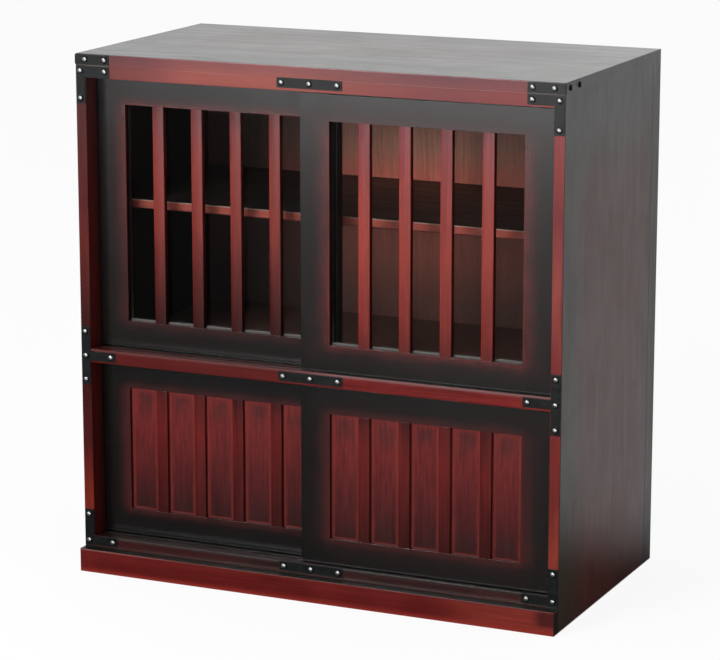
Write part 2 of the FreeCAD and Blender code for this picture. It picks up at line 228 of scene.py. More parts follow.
def begin(tree):
    """A group's wiring, the outputs that give its inputs, and the inputs that take its results."""
    given = tree.nodes.new("NodeGroupInput").outputs
    return Wiring(tree), given, tree.nodes.new("NodeGroupOutput").inputs


def new_group(name, inputs, results):
    """An empty shader node group with named sockets. A result called Normal is a direction."""
    tree = bpy.data.node_groups.new(name, "ShaderNodeTree")
    for socket, value in inputs.items():
        kind = "NodeSocketVector" if isinstance(value, tuple) else "NodeSocketFloat"
        tree.interface.new_socket(socket, in_out="INPUT", socket_type=kind).default_value = value
    for socket in results:
        kind = "NodeSocketVector" if socket == "Normal" else "NodeSocketFloat"
        tree.interface.new_socket(socket, in_out="OUTPUT", socket_type=kind)
    return begin(tree)


def new_material(name):
    """A material with an empty tree, and the wiring for it."""
    material = bpy.data.materials.new(name)
    material.use_nodes = True
    material.node_tree.nodes.clear()
    return material, Wiring(material.node_tree)


print("helpers ready:", [name for name in vars(Wiring) if not name.startswith("_")])

# %% [markdown]
# ## Floor, background and light
# The photograph is a cut-out on white, so the studio is plain: a pale floor that runs far past
# the cabinet and a white surround. White is what the camera and the reflections see, while the
# light that falls on the cabinet comes from a dimmer sky and two wide lamps, so that a colour
# renders about as it is written.

# %% The surround
SKY_LIGHT = 0.34
WHITE = (1.0, 1.0, 1.0, 1.0)


def seen_directly(w):
    """1 for rays from the camera and for those that gloss or glass sends on, 0 for light."""
    rays = w.add("ShaderNodeLightPath").outputs
    seen = w.plus(rays["Is Camera Ray"], rays["Is Glossy Ray"])
    return w.plus(seen, rays["Is Transmission Ray"], clamp=True)


world = bpy.data.worlds.new("studio_surround")
world.use_nodes = True
world.node_tree.nodes.clear()
w = Wiring(world.node_tree)
strength = w.fade(seen_directly(w), 0.0, 1.0, SKY_LIGHT, 1.0)
sky = w.take("ShaderNodeBackground", {"Color": WHITE, "Strength": strength})
w.add("ShaderNodeOutputWorld", {"Surface": sky})
scene.world = world
print("surround: white to look at, and", SKY_LIGHT, "as light")

# %% [markdown]
# The floor is one flat sheet. A plain white one would come out grey under these soft lamps, and a
# glowing one would lose the shadow. So its paint mixes the two: mostly glow where it is looked at,
# with enough matt paint left to hold the soft shadow beside the cabinet.

# %% Floor
FLOOR_RADIUS = 30.0
FLOOR_Z = -0.0003
FLOOR_COLOUR = (0.95, 0.95, 0.95, 1.0)
FLOOR_WHITE_SHARE = 0.90


def flat_sheet(name, low, high):
    """A level or upright rectangle that belongs to the studio and not to the cabinet."""
    corners = [low, (high[0], low[1], low[2]), high, (low[0], high[1], high[2])]
    mesh = bpy.data.meshes.new(name)
    mesh.from_pydata(corners, [], [(0, 1, 2, 3)])
    sheet = bpy.data.objects.new(name, mesh)
    scene.collection.objects.link(sheet)
    sheet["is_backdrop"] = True
    return sheet


floor_end = (FLOOR_RADIUS, FLOOR_RADIUS, FLOOR_Z)
floor = flat_sheet("studio_floor", (-FLOOR_RADIUS, -FLOOR_RADIUS, FLOOR_Z), floor_end)
floor_paint, w = new_material("studio_floor")
matt = w.take("ShaderNodeBsdfDiffuse", {"Color": FLOOR_COLOUR})
glow = w.take("ShaderNodeEmission", {"Color": WHITE, "Strength": 1.0})
glow_share = w.times(seen_directly(w), FLOOR_WHITE_SHARE)
w.show(w.take("ShaderNodeMixShader", {0: glow_share, 1: matt, 2: glow}))
floor.data.materials.append(floor_paint)
print("floor in m:", 2 * FLOOR_RADIUS, "each way")

# %% [markdown]
# The main light stands a little to the left of the camera. It gives the colours and throws the
# short shadows beside the bars. What the lacquer mirrors is another matter: a low, wide strip in
# front of the cabinet lays a veil over the doors that is strongest at the top right, and a small
# lamp higher up puts a spark on each nail. Two wide, weak lamps fill the top and the side.

# %% Lamps
LIGHT_AIM = Vector((0.0, 0.0, 0.45))
PANEL_LAMPS = {
    "main_light": {
        "place": (-1.43, -3.53, 1.64), "size": (1.6, 1.2), "power": 141.0, "lights": "colour"},
    "veil_strip": {
        "place": (0.05, -3.59, 0.785), "size": (4.30, 0.26), "power": 74.0, "lights": "gloss"},
    "nail_spark": {
        "place": (-1.38, -2.97, 2.69), "size": (1.0, 1.0), "power": 75.0, "lights": "gloss"},
}
WIDE_LAMPS = {
    "over_lamp": {"from": (-0.2, 0.3, 1.0), "power": 0.75, "spread_degrees": 100.0},
    "side_lamp": {"from": (1.0, -0.35, 0.5), "power": 0.45, "spread_degrees": 90.0},
}


def hang(name, kind, place, towards, power):
    """A lamp at a place, turned so that it shines along a direction. The camera doesn't see it."""
    lamp = bpy.data.objects.new(name, bpy.data.lights.new(name, kind))
    lamp.location = place
    lamp.rotation_euler = Vector(towards).to_track_quat("-Z", "Y").to_euler()
    lamp.data.energy = power
    lamp.visible_camera = lamp.visible_transmission = False
    scene.collection.objects.link(lamp)
    return lamp


for name, made in PANEL_LAMPS.items():
    lamp = hang(name, "AREA", made["place"], LIGHT_AIM - Vector(made["place"]), made["power"])
    lamp.data.shape = "RECTANGLE"
    lamp.data.size, lamp.data.size_y = made["size"]
    lamp.visible_diffuse = made["lights"] == "colour"
    lamp.visible_glossy = made["lights"] == "gloss"
for name, made in WIDE_LAMPS.items():
    lamp = hang(name, "SUN", (0.0, 0.0, 3.0), -Vector(made["from"]), made["power"])
    lamp.data.angle = math.radians(made["spread_degrees"])
    lamp.visible_glossy = False
print("lamps:", [*PANEL_LAMPS, *WIDE_LAMPS])

# %% [markdown]
# Glass and lacquer show what stands around them. In the photograph the room in front of the
# cabinet was dark, which is why its glass is clear and the foot of its side turns deep black.
# Two studio flags do the same here: one dark sheet lies just over the floor in front of the
# cabinet, and another stands behind the camera. Only reflections can see them. The sheet on the
# floor fades out beside the cabinet, so that no hard line is mirrored in its side.

# %% Flags
FLAG_DARK = 0.03
FLAG_FADES_IN_Y = (0.08, 0.49)
FLAGS = {
    "flag_on_floor": ((-8.0, -9.0, 0.0015), (4.0, 0.6, 0.0015)),
    "flag_behind": ((-28.0, -9.0, 0.0), (28.0, -9.0, 18.0)),
}

flag_paint, w = new_material("studio_flag")
share = w.fade(w.split(w.place())[1], *FLAG_FADES_IN_Y, 1.0, 0.0)
dark = w.take("ShaderNodeEmission", {"Color": WHITE, "Strength": FLAG_DARK})
w.show(w.take("ShaderNodeMixShader", {0: share, 1: w.take("ShaderNodeBsdfTransparent"), 2: dark}))
for name, corners in FLAGS.items():
    flag = flat_sheet(name, *corners)
    flag.data.materials.append(flag_paint)
    flag.visible_camera = flag.visible_diffuse = flag.visible_shadow = False
print("flags:", list(FLAGS))

# %% [markdown]
# ## Groups that the finishes share
# Every board shows the same stained timber, the same sprayed-on black and the same light line
# along its arrises. Each of these effects is a node group, built once and placed in each finish
# with its own values.
#
# Grain is noise that is drawn out along one axis: a fine streak, a slow band and short pores.
# The group takes Z as the run of the grain, and a board that runs another way swaps its axes
# before it goes in.

# %% Group: timber grain
GRAIN_ACROSS = 420.0
GRAIN_ALONG = 5.0


def drawn_out(w, place, across, along):
    """The place, scaled up across the grain and hardly at all along it."""
    x, y, z = w.split(place)
    return w.join(w.times(x, across), w.times(y, across), w.times(z, along))


w, given, result = new_group(
    "timber_grain", {"Place": (0.0, 0.0, 0.0), "Across": GRAIN_ACROSS, "Along": GRAIN_ALONG},
    ["Grain", "Pores"])
place, across, along = given["Place"], given["Across"], given["Along"]
sway = w.join(w.times(w.noise(place, 7.0, 2.0), 5.0))
streak = w.noise(w.vector("ADD", drawn_out(w, place, across, along), sway), 1.0, 4.0, 0.6)
wide = drawn_out(w, place, w.math("DIVIDE", across, 7.0), w.math("DIVIDE", along, 2.0))
band = w.noise(w.vector("ADD", wide, sway), 1.0)
both = w.plus(w.times(streak, 0.62), w.times(band, 0.38))
w.feed(result["Grain"], w.fade(both, 0.30, 0.70))
short = drawn_out(w, place, w.times(across, 3.0), w.times(along, 11.0))
w.feed(result["Pores"], w.fade(w.noise(short, 1.0, 2.0), 0.60, 0.74))
grain_group = w.tree
print("group:", grain_group.name)

# %% [markdown]
# The black is sprayed in from the edges of each frame over the red stain, so the red glows
# through in the middle. Its shape is a rounded rectangle: the distance outside a rectangle,
# counted separately in the two directions, made uneven by a little noise.

# %% Group: sprayed black
w, given, result = new_group("sprayed_black", {
    "Place": (0.0, 0.0, 0.0), "Centre": (0.0, 0.0, 0.0), "Half": (0.1, 0.1, 1.0),
    "Reach": (0.02, 0.02, 1.0), "Uneven": 0.2}, ["Black"])
beyond = w.vector("ABSOLUTE", w.vector("SUBTRACT", given["Place"], given["Centre"]))
beyond = w.vector("DIVIDE", w.vector("SUBTRACT", beyond, given["Half"]), given["Reach"])
distance = w.vector("LENGTH", w.vector("MAXIMUM", beyond, (0.0, 0.0, 0.0)))
drift = w.minus(w.noise(given["Place"], 24.0, 4.0, 0.6), 0.5)
distance = w.plus(distance, w.times(w.times(drift, given["Uneven"]), 4.0))
w.feed(result["Black"], w.fade(distance, 0.0, 1.0))
spray_group = w.tree


def sprayed(w, a, b, centre, half, reach, uneven=0.2):
    """Black outside a rectangle in two coordinates, full at its reach beyond each side."""
    return w.group(spray_group, {
        "Place": w.join(a, b), "Centre": (*centre, 0.0), "Half": (*half, 1.0),
        "Reach": (*reach, 1.0), "Uneven": uneven})[0]


print("group:", spray_group.name)

# %% [markdown]
# Lacquer is thin on an arris, so a light line runs along it: partly that wear and partly a painted
# highlight. The Bevel node gives the normal of a slightly rounded edge, and where that differs from
# the face's own normal there is an edge. The same rounded normal also goes into the shading, so each
# arris catches the light.

# %% Group: thin edges
BEVEL_SAMPLES = 4

w, given, result = new_group(
    "thin_edges", {"Width": 0.001, "Place": (0.0, 0.0, 0.0)}, ["Edge", "Normal"])
rounded = w.take("ShaderNodeBevel", {"Radius": given["Width"]}, samples=BEVEL_SAMPLES)
turned = w.vector("DOT_PRODUCT", rounded, w.facing())
worn = w.fade(w.noise(given["Place"], 45.0, 4.0, 0.65), 0.35, 0.7, 0.25, 1.0)
w.feed(result["Edge"], w.times(w.fade(turned, 0.995, 0.8), worn))
w.feed(result["Normal"], rounded)
edge_group = w.tree
print("group:", edge_group.name)

# %% [markdown]
# ## The lacquers
# One recipe serves all the wooden parts: stained timber under lacquer. It places the grain, asks
# the part's own paint function for a colour, lightens the arrises, and adds a faint relief. The
# paint functions below say only where a part is red and where it is black.
#
# The gloss of the lacquer is the shader's coat. It lies on the faces that look forwards and, on
# the top board, on the top as well, while the sides keep only the dull sheen of the stain. A coat
# smooths over the grain, so it follows the rounded arrises and not the relief of the wood.

# %% The recipe for a lacquered part
RED = (0.205, 0.020, 0.013)
ORANGE_RED = (0.330, 0.045, 0.020)
BLACK = (0.0014, 0.0011, 0.0010)
SOFT_BLACK = (0.0100, 0.0080, 0.0076)
EDGE_WEAR_AND_HIGHLIGHT = (0.30, 0.085, 0.065)
LACQUER_IOR = 1.8
COAT_ROUGH = 0.22
RELIEF_DEPTH = 0.0006


def swap_axes(w, place, run):
    """Turns coordinates so that the grain, which runs along the axis named, runs along Z."""
    x, y, z = w.split(place)
    return {"X": w.join(y, z, x), "Y": w.join(z, x, y), "Z": place}[run]


def lacquer(name, run, paint_with, across=GRAIN_ACROSS, rough=(0.30, 0.42), gloss=0.12, coat=1.0,
            top_coat=0.0, coat_over=(-0.3, -0.7), edge_share=0.25, edge_width=0.0009, relief=0.10):
    """The material of a lacquered part. paint_with wires its colour; coat and top_coat say how
    much of the coat lies on its front and on its top, and coat_over how far it reaches round an
    arris. edge_width is a length, or a function that wires one."""
    material, w = new_material(name)
    place = w.place()
    _, back_y, up_z = w.split(w.facing())
    grain, pores = w.group(grain_group, {
        "Place": swap_axes(w, place, run), "Across": across, "Along": GRAIN_ALONG})
    width = edge_width(w, place) if callable(edge_width) else edge_width
    edge = w.group(edge_group, {"Width": width, "Place": place})
    colour = w.mix(w.times(pores, 0.25), paint_with(w, place, grain), BLACK)
    # The light line along each arris is partly wear and partly a painted highlight.
    colour = w.mix(w.times(edge["Edge"], edge_share), colour, EDGE_WEAR_AND_HIGHLIGHT)
    smudge = w.noise(place, 11.0, 4.0, 0.6)
    dulled = w.plus(w.times(grain, 0.4), w.times(smudge, 0.6))
    bump = w.take("ShaderNodeBump", {
        "Strength": relief, "Distance": RELIEF_DEPTH, "Height": w.plus(grain, w.times(pores, -1.5)),
        "Normal": edge["Normal"]})
    coated = w.fade(back_y, *coat_over, 0.0, coat) if coat else 0.0
    if top_coat:
        coated = w.larger(coated, w.fade(up_z, 0.3, 0.7, 0.0, top_coat))
    w.show(w.take("ShaderNodeBsdfPrincipled", {
        "Base Color": colour, "Roughness": w.fade(dulled, 0.25, 0.75, *rough),
        "Specular IOR Level": gloss, "Normal": bump,
        "Coat Weight": coated, "Coat Roughness": COAT_ROUGH, "Coat IOR": LACQUER_IOR,
        "Coat Normal": w.take("ShaderNodeBevel", {"Radius": width}, samples=BEVEL_SAMPLES)}))
    return material


def shaded(colour, share):
    """A darker or, with a share above 1, a lighter version of a colour."""
    return tuple(share * c for c in colour)


def stained(w, grain, place, dark, light, thin, thin_share):
    """Red stain: darker in the streaks, and more orange in the patches where it is thin."""
    patch = w.fade(w.noise(place, 5.0), 0.45, 0.72, 0.0, thin_share)
    return w.mix(patch, w.mix(grain, dark, light), thin)


def set_finish(names, material):
    """Puts one material on parts of the solid model."""
    for name in names:
        nodes[name].data.materials.clear()
        nodes[name].data.materials.append(material)
    print(material.name, "on", names)


print("lacquer recipe ready, coat roughness", COAT_ROUGH)

# %% [markdown]
# ### Places that the paint goes by
# Much of the paint follows the cabinet's own edges: the front face, the outer sides, and the iron
# plates, under and round which the wood is black; in a thin margin round the plates that black is
# partly paint and partly painted shadow. Their places are read from the solid model, so that the
# paint stays with the parts if their sizes change.

# %% Places that the paint goes by
FRONT_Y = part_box("top_board")[0].y
SIDE_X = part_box("side_panel_right")[1].x
TOP_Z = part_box("top_board")[1].z
SEAM_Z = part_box("top_rail")[1].z
TOP_RAIL_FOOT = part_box("top_rail")[0].z
CORNER_PLATES = [f"corner_plate_top_{side}" for side in ("left", "right")]
FOOT_PLATES = [f"corner_plate_bottom_{side}" for side in ("left", "right")]
STRAPS = ["corner_strap_left", "corner_strap_right"]
PLATE_WIDTH = 0.0142


def on_front(w, y):
    """1 on the faces that look out of the front of the cabinet, 0 elsewhere."""
    return w.fade(y, FRONT_Y + 0.0012, FRONT_Y + 0.0004)


def on_ends(w, x, end, start=0.0008, full=0.0003):
    """1 on a part's left and right ends, 0 on the way in from them."""
    return w.fade(w.unsigned(x), end - start, end - full)


def round_iron(w, place, plates, beside, below, above, arm=None):
    """1 on the wood under the plates named and within a margin of them. The wood there is black, and
    in the margin the black is partly paint and partly painted shadow of the plates. With an arm,
    only its height below the top of the plate counts."""
    x, _, z = w.split(place)
    found = 0.0
    for plate in plates:
        low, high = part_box(plate)
        foot = low.z if arm is None else high.z - arm
        level = w.between(z, foot - below, high.z + above)
        found = w.larger(found, w.times(w.between(x, low.x - beside, high.x + beside), level))
    return found


print("front at", round(FRONT_Y, 4), "sides at", round(SIDE_X, 4), "top at", round(TOP_Z, 4))

# %% [markdown]
# ### Top board and top rail
# The front edge of the top board and the rail below it look like one red band, unevenly stained
# from left to right, so both take their red from one function. A ramp with a few stops gives the
# stain, because each stop can be matched to the real thing by itself. Under the iron at the
# corners the wood is black, partly painted shadow round the plates, and the thin pale line where the
# board and the rail meet is a painted highlight.

# %% The red band at the top
BAND_STAIN = [
    (-0.36, (0.10, 0.019, 0.017)), (-0.28, (0.138, 0.029, 0.025)), (-0.20, (0.220, 0.044, 0.033)),
    (-0.05, (0.237, 0.048, 0.033)), (0.12, (0.172, 0.031, 0.026)), (0.20, (0.146, 0.023, 0.024)),
    (0.30, (0.168, 0.022, 0.021))]
BAND_STREAK = (0.62, 0.55, 0.60)
BAND_HEAD = (0.72, 0.76, 1.05)
BAND_FOOT = (0.27, 0.020, 0.018)
SEAM_HIGHLIGHT_LEFT = (0.085, 0.068, 0.058)
SEAM_HIGHLIGHT_RIGHT = (0.05, 0.03, 0.025)


def paint_band(w, place, grain):
    """The red of the top edge, which is unevenly stained from left to right."""
    x, _, z = w.split(place)
    red = w.along(w.plus(x, w.swing(place, 9.0, 0.12)), BAND_STAIN)
    red = w.mix(w.times(grain, 0.45), red, w.tint(red, BAND_STREAK))
    red = w.mix(w.fade(z, TOP_RAIL_FOOT + 0.012, TOP_Z), red, w.tint(red, BAND_HEAD))
    return w.mix(w.fade(z, TOP_RAIL_FOOT + 0.0025, TOP_RAIL_FOOT + 0.0005, 0.0, 0.30), red, BAND_FOOT)


def under_iron(w, place):
    """The black under the plates, partly painted shadow beside them, and a painted highlight along the
    seam that shows between them.
    """
    x, _, z = w.split(place)
    # The pale line along the seam is a painted highlight.
    pale = w.mix(w.fade(x, -0.3, 0.3), SEAM_HIGHLIGHT_LEFT, SEAM_HIGHLIGHT_RIGHT)
    return w.mix(w.fade(w.unsigned(w.minus(z, SEAM_Z)), 0.0012, 0.0003), SOFT_BLACK, pale)


print("stops of the stain from left to right:", len(BAND_STAIN))

# %% [markdown]
# The top itself is dark under a thin, soft coat. It is reddish in the middle, where the black was
# sprayed thinly, and greyer towards the right. Only its upper arris is rounded: with the lower one
# rounded too, the seam above the rail would look open.

# %% Top board and top rail
TOP_MIDDLE = ((0.022, 0.010, 0.009), (0.040, 0.016, 0.014))
TOP_RIM = ((0.008, 0.008, 0.007), (0.015, 0.014, 0.012))
TOP_RIGHT_GREY = (0.078, 0.076, 0.072)
# The grey of a painted sheen, which the sides, the post flanks and the ends of the top board take
# towards the top.
SIDE_HEAD_SHEEN = (0.048, 0.045, 0.044)


def top_arris(w, place):
    """How far an arris is rounded: only at the upper edge, so the seam below it stays closed."""
    return w.fade(w.split(place)[2], TOP_Z - 0.006, TOP_Z - 0.003, 0.0001, 0.0010)


def paint_top_board(w, place, grain):
    """The dark top, the red band along its front, and its ends, grey with painted sheen."""
    x, y, _ = w.split(place)
    spray = sprayed(w, x, y, (0.0, 0.03), (0.20, 0.05), (0.17, 0.13))
    flat = w.mix(spray, w.mix(grain, *TOP_MIDDLE), w.mix(grain, *TOP_RIM))
    flat = w.mix(w.fade(x, 0.02, 0.36), flat, TOP_RIGHT_GREY)
    # Black under the iron; in the margin round it, partly painted shadow.
    black_and_shadow = round_iron(w, place, STRAPS, 0.0006, 0.003, 0.003)
    red = w.mix(black_and_shadow, paint_band(w, place, grain), under_iron(w, place))
    flat = w.mix(on_ends(w, x, SIDE_X), flat, SIDE_HEAD_SHEEN)
    return w.mix(on_front(w, y), flat, red)


def paint_top_rail(w, place, grain):
    """The lower half of the red band, which turns black on the way in to the doors."""
    # Black under the iron; in the margin round it, partly painted shadow.
    black_and_shadow = w.larger(
        round_iron(w, place, CORNER_PLATES[:1], 0.0006, 0.006, 0.003, PLATE_WIDTH),
        round_iron(w, place, CORNER_PLATES[1:], 0.0006, 0.0, 0.003, PLATE_WIDTH))
    red = w.mix(black_and_shadow, paint_band(w, place, grain), under_iron(w, place))
    return w.mix(w.fade(w.split(place)[1], FRONT_Y + 0.012, FRONT_Y + 0.03), red, BLACK)


set_finish(["top_board"], lacquer(
    "lacquer_top_board", "X", paint_top_board, gloss=0.16, coat=0.45, top_coat=0.44,
    edge_share=0.10, edge_width=top_arris))
set_finish(["top_rail"], lacquer(
    "lacquer_top_rail", "X", paint_top_rail, coat=0.40, edge_share=0.10, edge_width=0.0002))

# %% [markdown]
# ### Middle rail and bottom rail
# The middle rail is a deep red and the bottom rail is nearly covered by the black. Along the upper
# arris of both lies a thin pale line, which is a painted highlight, and behind it lies the ledge in
# front of the doors, stained on the left and black on the right. The two rails differ only in their
# colours, so one function makes the paint for each.

# %% Middle rail and bottom rail
# The arris colours of both rails are a painted highlight.
RAILS = {
    "mid_rail": {
        "dark": (0.068, 0.0040, 0.0034), "light": (0.165, 0.0095, 0.0080), "thin_share": 0.15,
        "left_end": (0.0544, 0.0032, 0.0027), "left_end_x": (0.08, -0.10),
        "arris": ((0.086, 0.021, 0.020), (0.140, 0.056, 0.056)),
        "ledge": ((0.046, 0.009, 0.008), (0.078, 0.014, 0.012))},
    "bottom_rail": {
        "dark": (0.012, 0.003, 0.003), "light": (0.036, 0.0075, 0.0068), "thin_share": 0.02,
        "left_end": (0.033, 0.0026, 0.0024), "left_end_x": (-0.10, -0.22),
        "arris": ((0.030, 0.019, 0.018), (0.026, 0.018, 0.017)),
        "ledge": ((0.010, 0.003, 0.003), (0.018, 0.005, 0.004))},
}


def paint_rail(rail):
    """The paint of a rail. Its arris has a painted highlight, one colour at the left and one at the
    right, and its ledge a colour in the streaks of the grain and one between them."""
    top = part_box(rail)[1].z
    paints = RAILS[rail]

    def paint(w, place, grain):
        x, y, z = w.split(place)
        red = stained(
            w, grain, place, paints["dark"], paints["light"], ORANGE_RED, paints["thin_share"])
        red = w.mix(w.fade(x, *paints["left_end_x"], 0.0, 0.75), red, paints["left_end"])
        red = w.mix(w.fade(x, 0.20, 0.32, 0.0, 0.28), red, shaded(paints["light"], 1.5))
        # The pale line along the upper arris is a painted highlight.
        edge_marks = w.mix(w.fade(x, -0.05, 0.05), *paints["arris"])
        red = w.mix(w.fade(z, top - 0.0050, top - 0.0024), red, edge_marks)
        behind = w.mix(w.fade(x, -0.05, 0.05), w.mix(grain, *paints["ledge"]), BLACK)
        behind = w.mix(w.fade(y, FRONT_Y + 0.012, FRONT_Y + 0.032), behind, BLACK)
        return w.mix(w.fade(y, FRONT_Y + 0.0003, FRONT_Y + 0.0020), red, behind)
    return paint


set_finish(["mid_rail"], lacquer(
    "lacquer_mid_rail", "X", paint_rail("mid_rail"), coat=0.3, coat_over=(-0.97, -0.995),
    edge_share=0.10, edge_width=0.0005, relief=0.03))
set_finish(["bottom_rail"], lacquer(
    "lacquer_bottom_rail", "X", paint_rail("bottom_rail"), coat=0.85, coat_over=(-0.90, -0.98),
    edge_share=0.10, edge_width=0.0004, relief=0.03))

# %% [markdown]
# ### Plinth
# The plinth is the deep red board that the cabinet stands on, black on its top and its ends. It is
# paler towards its right end, where a dark knot sits in the corner, and a painted highlight runs
# along its upper arris.

# %% Plinth
PLINTH_DARK = (0.064, 0.0036, 0.0030)
PLINTH_LIGHT = (0.100, 0.0060, 0.0046)
PLINTH_RIGHT = ((0.125, 0.014, 0.010), (0.200, 0.024, 0.015))
PLINTH_FOOT = (0.200, 0.016, 0.010)
PLINTH_KNOT = (0.036, 0.006, 0.006)
PLINTH_ARRIS_HIGHLIGHT = ((0.15, 0.050, 0.044), (0.100, 0.020, 0.017))
PLINTH_END = (0.015, 0.012, 0.010)
PLINTH_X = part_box("plinth_front")[1].x
PLINTH_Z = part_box("plinth_front")[1].z


def paint_plinth(w, place, grain):
    """Deep red in front, with its paler places and a painted highlight on its upper arris, and black
    on top and on the ends.
    """
    x, _, z = w.split(place)
    red = stained(w, grain, place, PLINTH_DARK, PLINTH_LIGHT, RED, 0.25)
    red = w.mix(w.fade(x, 0.18, 0.30), red, w.mix(grain, *PLINTH_RIGHT))
    red = w.mix(w.fade(z, 0.009, 0.001, 0.0, 0.7), red, PLINTH_FOOT)
    knot = w.times(w.fade(x, PLINTH_X - 0.036, PLINTH_X - 0.018), w.fade(z, 0.008, 0.016))
    red = w.mix(w.times(knot, 0.85), red, PLINTH_KNOT)
    # A painted highlight along the upper arris.
    edge_marks = w.mix(w.fade(x, -0.34, -0.18), *PLINTH_ARRIS_HIGHLIGHT)
    red = w.mix(w.fade(z, PLINTH_Z - 0.0034, PLINTH_Z - 0.0014), red, edge_marks)
    red = w.mix(on_ends(w, x, PLINTH_X, start=0.0010), red, PLINTH_END)
    return w.mix(w.fade(z, PLINTH_Z - 0.0007, PLINTH_Z - 0.0002), red, BLACK)


set_finish(["plinth_front"], lacquer(
    "lacquer_plinth", "X", paint_plinth, coat=0.12, edge_share=0.12, edge_width=0.0006))

# %% [markdown]
# ### Posts
# A front post is red on its face, the right one much brighter than the left, and beside the doors
# the red dies away on the way in to a black that is partly paint and partly painted shade. Its
# outer flank belongs to the side of the cabinet.
# The red is matched at eight heights of each post, with a little noise added to the height so
# that no band runs dead level.

# %% Posts
POST_RED = {
    "left": [
        (0.05, (0.150, 0.013, 0.005)), (0.11, (0.134, 0.0100, 0.003)),
        (0.19, (0.050, 0.0025, 0.0015)), (0.27, (0.031, 0.0015, 0.0015)),
        (0.39, (0.029, 0.003, 0.0025)), (0.48, (0.068, 0.0050, 0.0035)),
        (0.58, (0.060, 0.005, 0.006)), (0.70, (0.050, 0.010, 0.0085))],
    "right": [
        (0.05, (0.150, 0.016, 0.007)), (0.11, (0.165, 0.018, 0.008)),
        (0.19, (0.106, 0.0080, 0.005)), (0.27, (0.125, 0.0085, 0.0075)),
        (0.39, (0.149, 0.0160, 0.0120)), (0.48, (0.195, 0.0285, 0.0225)),
        (0.58, (0.139, 0.0125, 0.0125)), (0.70, (0.172, 0.0160, 0.0130))],
}
POST_COAT = {"left": 0.3, "right": 0.5}
POST_REVEAL = ((0.044, 0.0036, 0.0028), (0.078, 0.0060, 0.0044))
POST_REVEAL_BLACK_AND_SHADE = (0.010, 0.0034, 0.0030)
FLANK = ((0.015, 0.013, 0.011), (0.026, 0.020, 0.017))
FLANK_HEAD_Z = (0.58, 0.74)
FOOT_BROWN = (0.034, 0.022, 0.015)


def paint_post(side):
    """The paint of a front post: its red face, its reveal beside the doors, and its flank."""
    def paint(w, place, grain):
        x, y, z = w.split(place)
        red = w.along(w.plus(z, w.swing(place, 14.0, 0.05)), POST_RED[side])
        red = w.streaked(grain, red, (0.72, 0.66, 0.70), (1.26, 1.30, 1.22))
        # Black under the iron; in the margin round it, partly painted shadow.
        black_and_shadow = w.larger(round_iron(w, place, CORNER_PLATES, 0.003, 0.0004, 0.003),
                           round_iron(w, place, FOOT_PLATES, 0.003, 0.004, 0.0004))
        red = w.mix(black_and_shadow, red, SOFT_BLACK)
        # Deeper in the reveal the black is partly paint and partly painted shade.
        reveal = w.mix(w.fade(y, FRONT_Y + 0.012, FRONT_Y + 0.046),
                       w.mix(grain, *POST_REVEAL), POST_REVEAL_BLACK_AND_SHADE)
        red = w.mix(w.fade(y, FRONT_Y + 0.0012, FRONT_Y + 0.003), red, reveal)
        flank = w.mix(w.fade(z, 0.22, 0.05), w.mix(grain, *FLANK), FOOT_BROWN)
        # Painted sheen greys the flank towards the top, as on the sides.
        flank = w.mix(w.fade(z, *FLANK_HEAD_Z), flank, SIDE_HEAD_SHEEN)
        return w.mix(on_ends(w, x, SIDE_X), red, flank)
    return paint


for side, coat in POST_COAT.items():
    set_finish([f"front_post_{side}"], lacquer(
        f"lacquer_post_{side}", "Z", paint_post(side), gloss=0.16, coat=coat))

# %% [markdown]
# ### Sides
# A side is black at its edges and lets a brownish red through in the middle. It greys towards the
# top with a painted sheen, as the top board's end does, and its foot is brown in front and reddish
# further back. The rear strip is plain black. Inside the cabinet the boards are only stained.

# %% Sides
SIDE_MIDDLE = ((0.036, 0.012, 0.010), (0.056, 0.019, 0.016))
SIDE_FOOT_RED = ((0.044, 0.0110, 0.0090), (0.078, 0.0200, 0.0160))
SIDE_REAR_TINT = (0.85, 0.50, 0.50)
SIDE_REAR = (0.0075, 0.0060, 0.0050)
SIDE_INSIDE = (0.012, 0.007, 0.006)


def paint_side(w, place, grain):
    """The outside with its red middle, and the plain stain of the inside."""
    x, y, z = w.split(place)
    spray = sprayed(w, y, z, (0.048, 0.32), (0.125, 0.26), (0.09, 0.20))
    outside = w.mix(spray, w.mix(grain, *SIDE_MIDDLE), w.mix(grain, *FLANK))
    foot = w.times(w.fade(z, 0.24, 0.04), w.fade(y, 0.10, -0.06))
    stain = w.mix(w.fade(y, -0.165, -0.05), FOOT_BROWN, w.mix(grain, *SIDE_FOOT_RED))
    outside = w.mix(foot, outside, stain)
    outside = w.mix(w.fade(y, 0.06, 0.15), outside, w.tint(outside, SIDE_REAR_TINT))
    outside = w.mix(w.fade(y, 0.14, 0.19), outside, SIDE_REAR)
    # Painted sheen greys the side towards the top.
    outside = w.mix(w.fade(z, *FLANK_HEAD_Z), outside, SIDE_HEAD_SHEEN)
    return w.mix(on_ends(w, x, SIDE_X, 0.0154, 0.0148), SIDE_INSIDE, outside)


set_finish(
    ["side_panel_left", "side_panel_right", "rear_post_left", "rear_post_right"],
    lacquer("lacquer_side", "Z", paint_side, gloss=0.16, coat=0.0, edge_share=0.10))

# %% [markdown]
# ### Door frames
# The paint of a frame goes by the opening in it: the spray starts just inside the opening and is
# full some way outside. On an upper door, the sill at the foot of the panes is pale grey. The
# openings are read from the stiles and rails of the solid model.

# %% The openings of the doors
DOORS = [f"{level}_{side}" for level in ("upper", "lower") for side in ("left", "right")]
GLAZING_GREY = (0.16, 0.155, 0.145)


def opening_of(door):
    """Lowest and highest corner of the hole in a door's frame."""
    low = Vector((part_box(door + "_stile_left")[1].x, 0.0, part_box(door + "_rail_bottom")[1].z))
    high = Vector((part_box(door + "_stile_right")[0].x, 0.0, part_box(door + "_rail_top")[0].z))
    return low, high


